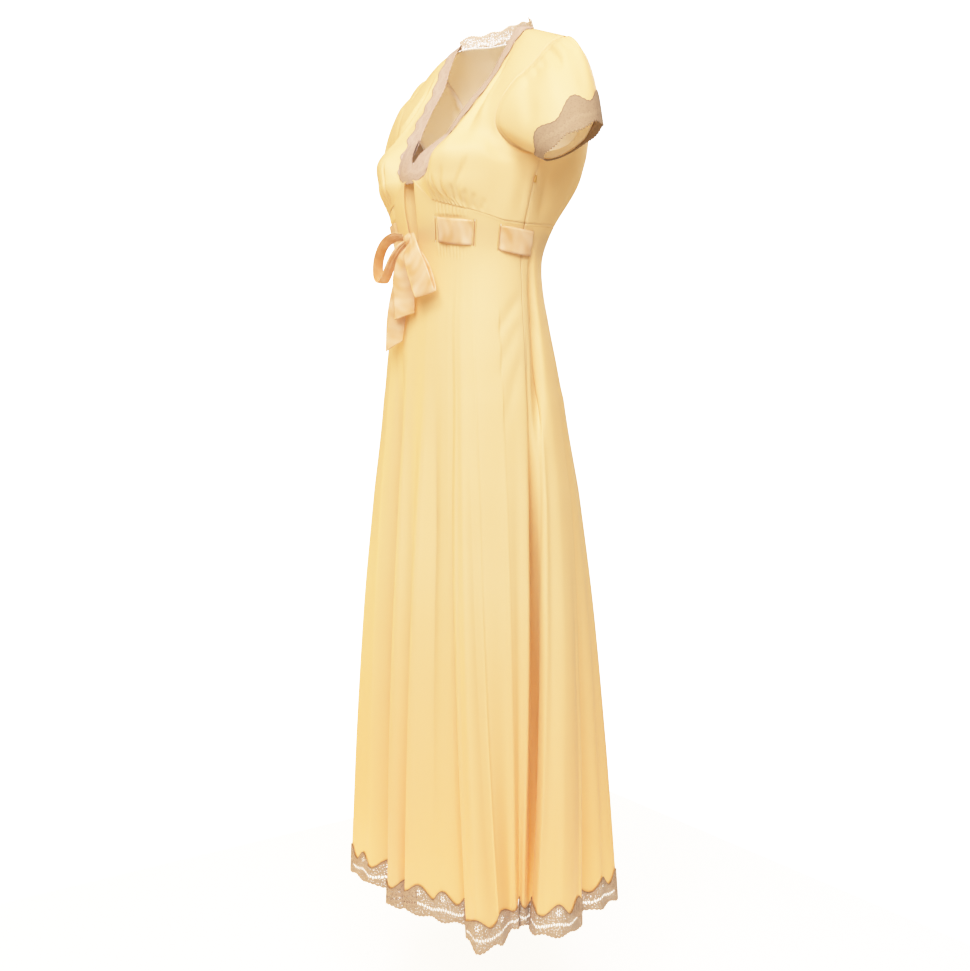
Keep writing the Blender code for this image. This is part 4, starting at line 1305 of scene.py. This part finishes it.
def makeHemLace(name, node, reach):
    first, last = reach
    column = np.linspace(first, last, (last - first) * hem["finePerColumn"] + 1)
    wave = scallop(column, body["columnsAScallop"])
    top = body["hemLevel"] + skirt["hemWave"] * wave + hem["overSilk"]
    turns = column / body["columnsAScallop"]
    picot = arches(turns * hem["picotsPerScallop"])
    below, more = hem["foot"]
    foot = body["hemLevel"] - below - more * wave - hem["picot"] * (picot - 0.5)
    depth = shares(hem["rows"])[:, None]
    height = foot + (top - foot) * depth
    places = skirtPoint(np.broadcast_to(column, height.shape), height)
    pullIn(places, hem["gap"])
    places = raised(places, hem["lift"])
    field = turns * laceLooks["hem"]["scallop"], height - foot, top - height
    lacePiece(name, [node], places, hemLace, field)


makeNeckLace("laceNeckLeft", "lace_neck_left", 1)
makeNeckLace("laceNeckRight", "lace_neck_right", -1)
makeCollar()
makeNeckPoint()
makeHemLace("laceHemFront", "lace_hem_front", skirt["front"])
makeHemLace("laceHemBack", "lace_hem_back", skirt["back"])
print("lace made")

# Ribbon belt and bow

ribbon = {
    "wall": 0.0005,
    "over": 0.1,
    "sag": 0.1,
    "bulge": 0.3,
    "ripple": 0.1,
    "pinch": 0.14,
    "under": -0.42,
    "rows": 10,
    "finePerColumn": 4,
    "reach": (2, 126),
    # where it comes out, where it goes in again, and how fast it rises
    "outside": ((5, 21, 3.0), (24, 30, 1.6)),
    "bowAcross": 14,
    "bowAlong": 72,
    "knotCentre": (0.0, -10.6, -30.3),
    "knotHalf": (1.15, 0.8, 0.8),
    "knotSegments": (64, 40),
    "knotPleat": 0.06,
    "knotPleats": 9,
    "knotWaist": 0.1,
    "knotEnd": 0.12,
    # middle, direction across and width
    "loopLeft": np.array([
        (1.0, -10.9, -30.1, 0.2, -0.1, 1.0, 1.3),
        (2.0, -11.6, -30.6, 0.6, 0.1, 0.8, 2.2),
        (3.1, -12.2, -32.6, 0.95, 0.35, 0.35, 3.1),
        (4.6, -12.0, -35.6, 0.95, 0.4, 0.3, 3.5),
        (5.4, -11.6, -38.1, 0.95, 0.45, 0.28, 3.5),
        (5.55, -11.3, -38.45, 0.95, 0.45, 0.28, 3.5),
        (5.1, -11.1, -37.5, 0.95, 0.45, 0.28, 3.5),
        (3.9, -11.2, -34.6, 0.95, 0.4, 0.3, 3.2),
        (2.3, -11.1, -32.2, 0.7, 0.2, 0.7, 2.0),
        (1.1, -10.5, -30.9, 0.5, 0.0, 0.9, 1.2),
    ]),
    "loopRight": np.array([
        (-1.1, -10.9, -30.0, 0.1, -0.5, 0.9, 1.2),
        (-2.6, -11.6, -29.9, 0.3, -0.8, 0.6, 1.9),
        (-4.6, -12.1, -30.9, 0.5, -0.85, 0.3, 2.6),
        (-6.1, -12.2, -33.0, 0.5, -0.85, 0.1, 3.0),
        (-6.5, -12.1, -35.3, 0.5, -0.85, 0.0, 3.2),
        (-5.9, -11.9, -36.5, 0.5, -0.85, 0.0, 3.2),
        (-4.9, -11.7, -35.8, 0.5, -0.85, 0.1, 3.0),
        (-3.4, -11.4, -33.4, 0.4, -0.8, 0.3, 2.2),
        (-2.2, -11.0, -31.8, 0.2, -0.6, 0.5, 1.6),
        (-1.12, -10.6, -30.9, 0.1, -0.5, 0.8, 1.0),
    ]),
    "tailLeft": np.array([
        (0.4, -10.89, -31.37, 1.0, 0.1, 0.0, 1.3),
        (0.3, -11.6, -33.0, 0.9, 0.4, 0.0, 2.6),
        (0.2, -11.8, -36.0, 0.85, 0.5, 0.0, 3.5),
        (0.5, -11.9, -39.0, 0.85, 0.5, 0.0, 3.5),
        (0.8, -12.0, -41.6, 0.85, 0.5, 0.3, 3.5),
    ]),
    "tailRight": np.array([
        (-0.5, -10.5, -31.5, 1.0, 0.0, 0.0, 0.9),
        (-1.2, -10.8, -34.0, 0.9, 0.25, 0.0, 2.2),
        (-1.8, -11.2, -38.0, 0.9, 0.35, 0.0, 3.2),
        (-2.2, -11.6, -42.0, 0.9, 0.35, 0.0, 3.5),
        (-2.4, -11.9, -46.0, 0.9, 0.35, 0.5, 3.5),
    ]),
}


def makeBelt():
    first, last = ribbon["reach"]
    column = np.linspace(first, last, (last - first) * ribbon["finePerColumn"] + 1)
    own = ownColumn(column)[0]
    over, sag, pinched, near = np.zeros((4, len(column)))
    for enter, leave, rise in ribbon["outside"]:
        last = leave + 1    # a slit is one column wide
        shown = softStep((own - enter) / rise) * softStep((last - own) / (0.6 * rise))
        over = np.maximum(over, shown)
        sag = np.maximum(sag, np.sin(np.pi * np.clip((own - enter) / (last - enter), 0, 1)))
        ends = bell((own - enter) / 0.9) + bell((own - last) / 0.9)
        pinched = np.maximum(pinched, ends)
    for slit in body["slitColumns"]:
        near = np.maximum(near, bell((own - slit - 0.5) / 1.1))
    offset = ribbon["under"] + (ribbon["over"] - ribbon["under"]) * over
    slitFoot, slitTop = skirtKnots(column)[skirt["slitKnot"]:skirt["slitKnot"] + 2]
    foot, top = bodyPoint(column, slitFoot), bodyPoint(column, slitTop)
    angle = np.radians(waistAngle(column))
    away = np.stack([np.sin(angle), -np.cos(angle), np.zeros_like(angle)], -1) * offset[:, None]
    spare = (body["slitHeight"] - body["ribbonWidth"]) / 2 / body["slitHeight"]
    depth = shares(ribbon["rows"])[:, None]
    share = 0.5 + (0.5 - spare) * (2 * depth - 1) * (1 - ribbon["pinch"] * pinched)
    places = foot + (top - foot) * share[..., None] + away
    places[..., 2] -= ribbon["sag"] * sag * (1 - 0.6 * depth)
    # Slight pinches where the ribbon goes in and out, and a soft cup across it
    slant = np.sin(2 * np.pi * (own / 8.5 - 0.55 * depth))
    lift = ribbon["bulge"] * sag + ribbon["ripple"] * slant * sag
    lift = lift + 0.05 * near * np.cos(depth * 4 * np.pi)
    places = raised(places, lift * over)
    along = distances(places, 1)
    uv = np.stack([along, np.broadcast_to(depth * 2 - 1, along.shape)], -1)
    nodes = ["ribbon_belt"]
    clothPiece("ribbonBelt", places, satin, nodes, uv, wall=ribbon["wall"])


def makeRibbon(name, node, table, cup, ripple):
    at = np.linspace(0, len(table) - 1, ribbon["bowAlong"] + 1)
    middle = smoothCurve(table[:, :3], at)
    half = smoothCurve(unit(table[:, 3:6]) * table[:, 6:7] / 2, at)
    # rows run across the ribbon, columns along it
    depth = np.linspace(-1, 1, ribbon["bowAcross"] + 1)[:, None]
    places = middle + half * depth[..., None]
    width = np.linalg.norm(half, axis=-1)
    tight = np.clip(1 - (width - 0.5) / 1.2, 0, 1)
    wave = cup * (1 - depth**2) + ripple * tight * np.cos(depth * 3 * np.pi)
    places = raised(places, wave)
    along = distances(places, 1)
    uv = np.stack([along, np.broadcast_to(depth, along.shape)], -1)
    clothPiece(name, places, satin, [node], uv, wall=ribbon["wall"])


def looseMesh(name, shape, material, nodes):
    bmesh.ops.recalc_face_normals(shape, faces=shape.faces[:])
    return finishPiece(newMesh(name, shape, [material]), nodes)


def makeKnot():
    lump = bmesh.new()
    across, up = ribbon["knotSegments"]
    bmesh.ops.create_uvsphere(lump, u_segments=across, v_segments=up, radius=1, calc_uvs=True)
    for vert in lump.verts:
        x, y, z = vert.co
        turn = math.atan2(z, -y)
        around = math.hypot(y, z)
        # the ribbon wraps round the knot, so its folds run round it
        pleats = math.cos(x * ribbon["knotPleats"] + 0.8 * math.sin(turn)) * around
        waist = 1 - ribbon["knotWaist"] * math.cos(turn) * (1 - abs(x))
        size = waist + ribbon["knotPleat"] * pleats
        vert.co = (x * (1 - ribbon["knotEnd"] * around), y * size, z * size)
        for axis in range(3):
            reach = vert.co[axis] * ribbon["knotHalf"][axis]
            vert.co[axis] = (ribbon["knotCentre"][axis] + reach) * cm
    for face in lump.faces:
        face.smooth = True
    return looseMesh("bowKnot", lump, satin, ["bow_knot"])


makeBelt()
makeRibbon("bowLoopLeft", "bow_loop_left", ribbon["loopLeft"], 0.1, 0.1)
makeRibbon("bowLoopRight", "bow_loop_right", ribbon["loopRight"], 0.1, 0.1)
makeRibbon("bowTailLeft", "bow_tail_left", ribbon["tailLeft"], 0.12, 0.1)
makeRibbon("bowTailRight", "bow_tail_right", ribbon["tailRight"], 0.12, 0.08)
bowKnot = makeKnot()
print("belt and bow made")

# Zip

zipper = {
    "top": -21.9,
    "foot": -49.6,
    "halfWidth": 0.5,
    "wall": 0.0008,
    "inside": 0.75,
    "rows": 64,
    "pitch": 0.16,
    "spareEnd": 0.3,
    "tooth": (0.12, 0.3, 0.09),
    "toothOut": 0.07,
    "toothAside": 0.1,
    "slider": (0.22, 0.34, 1.0),
    "sliderIn": 0.1,
    "sliderLean": 0.29,
    "sliderTopShare": 0.7,
    "sliderEdge": 0.05,
}
underarm = armhole[7]


def sideSeamAt(height):
    column = body["sideColumn"]
    seam = float(seamHeight(column))
    if height <= seam:
        return skirtPoint(column, height)
    start = bodyPoint(column, seam)
    return start + (underarm - start) * (height - seam) / (underarm[2] - seam)


def makeZipTape():
    heights = np.linspace(zipper["foot"], zipper["top"], zipper["rows"] + 1)
    middle = np.array([sideSeamAt(height) for height in heights]) - (zipper["inside"], 0, 0)
    across = np.linspace(-1, 1, 7) * zipper["halfWidth"]
    places = middle[:, None] + np.array((0, 1, 0)) * across[None, :, None]
    nodes = ["zip_tape"]
    clothPiece("zipTape", places, zipNylon, nodes, clothUv(places), wall=zipper["wall"])


def makeZipTeeth():
    shape = bmesh.new()
    spare = zipper["spareEnd"]
    count = int((zipper["top"] - zipper["foot"] - 2 * spare) / zipper["pitch"])
    for index in range(count):
        height = zipper["foot"] + spare + index * zipper["pitch"]
        spot = sideSeamAt(height) - (zipper["inside"] - zipper["toothOut"], 0, 0)
        side = zipper["toothAside"] * (1 if index % 2 else -1)
        tooth = bmesh.ops.create_cube(shape, size=1)["verts"]
        bmesh.ops.scale(shape, verts=tooth, vec=[size * cm for size in zipper["tooth"]])
        bmesh.ops.translate(shape, verts=tooth, vec=(spot + (0, side, 0)) * cm)
    return looseMesh("zipTeeth", shape, zipNylon, [])


def roundEdges(shape, offset, segments):
    bmesh.ops.bevel(
        shape, geom=shape.edges[:], offset=offset * cm,
        affect="EDGES", segments=segments, profile=0.5, material=-1,
    )


def makeZipSlider():
    shape = bmesh.new()
    wide, deep, tall = zipper["slider"]
    spot = sideSeamAt(zipper["top"] - tall / 2) + (wide / 2 - zipper["sliderIn"], 0, 0)
    for vert in bmesh.ops.create_cube(shape, size=1)["verts"]:
        x, y, z = vert.co
        narrow = zipper["sliderTopShare"] if z > 0 else 1
        place = spot + (x * wide + zipper["sliderLean"] * z, y * deep * narrow, z * tall)
        vert.co = place * cm
    roundEdges(shape, zipper["sliderEdge"], 3)
    return looseMesh("zipSlider", shape, zipNylon, ["zip_slider"])


makeZipTape()
zipTeeth = makeZipTeeth()
zipSlider = makeZipSlider()
print("zip made")

# A row of stitches under the bust seam, and buttonhole stitches at the slits

stitches = {
    "lift": 0.02,
    "edge": 0.3,      # how much of a stitch's thickness is rounded off
    "row": {"pitch": 0.3, "long": 0.18, "thick": 0.035, "below": 0.28, "finePerColumn": 16},
    "slit": {"pitch": 0.085, "long": 0.12, "thick": 0.045, "away": 0.05},
}


# Adds a stitch at a place of the skirt, moved aside by centimetres
def addStitch(shape, column, height, look, aside=0.0):
    spot, beside, above = skirtPoint(
        np.array((column, column + 0.1, column)), np.array((height, height, height + 0.1))
    )
    normal = unit(np.cross(beside - spot, above - spot))
    along = unit(beside - spot)
    spot = spot + normal * stitches["lift"] + along * aside
    turn = np.eye(4)
    turn[:3, 0] = along * look["long"] * cm
    turn[:3, 1] = np.cross(normal, along) * look["thick"] * cm
    turn[:3, 2] = normal * look["thick"] * cm
    turn[:3, 3] = spot * cm
    bmesh.ops.create_cube(shape, size=1, matrix=Matrix(turn.tolist()))


def finishStitches(name, shape, look):
    roundEdges(shape, look["thick"] * stitches["edge"], 1)
    looseMesh(name, shape, thread, [])


def makeSeamStitches():
    row = stitches["row"]
    shape = bmesh.new()
    fine = np.linspace(0, body["columns"], body["columns"] * row["finePerColumn"] + 1)
    line = skirtPoint(fine, seamHeight(fine) - row["below"])
    walked = distances(line, 0)
    for distance in np.arange(row["pitch"] / 2, walked[-1], row["pitch"]):
        column = float(np.interp(distance, walked, fine))
        own = float(ownColumn(column)[0])
        # none at the keyhole and over the shirring
        if 1.4 <= own <= 5 or own >= 21:
            addStitch(shape, column, float(seamHeight(column)) - row["below"], row)
    finishStitches("seamStitches", shape, row)


def makeSlitStitches():
    slit = stitches["slit"]
    shape = bmesh.new()
    count = int(body["slitHeight"] / slit["pitch"])
    for side in (1, -1):
        for first in body["slitColumns"]:
            for edge, away in ((first, -slit["away"]), (first + 1, slit["away"])):
                middle = float(beltHeight(edge))
                for index in range(count + 1):
                    height = middle + body["slitHeight"] * (index / count - 0.5)
                    addStitch(shape, side * edge, height, slit, side * away)
    finishStitches("slitStitches", shape, slit)


makeSeamStitches()
makeSlitStitches()
print("stitches made")
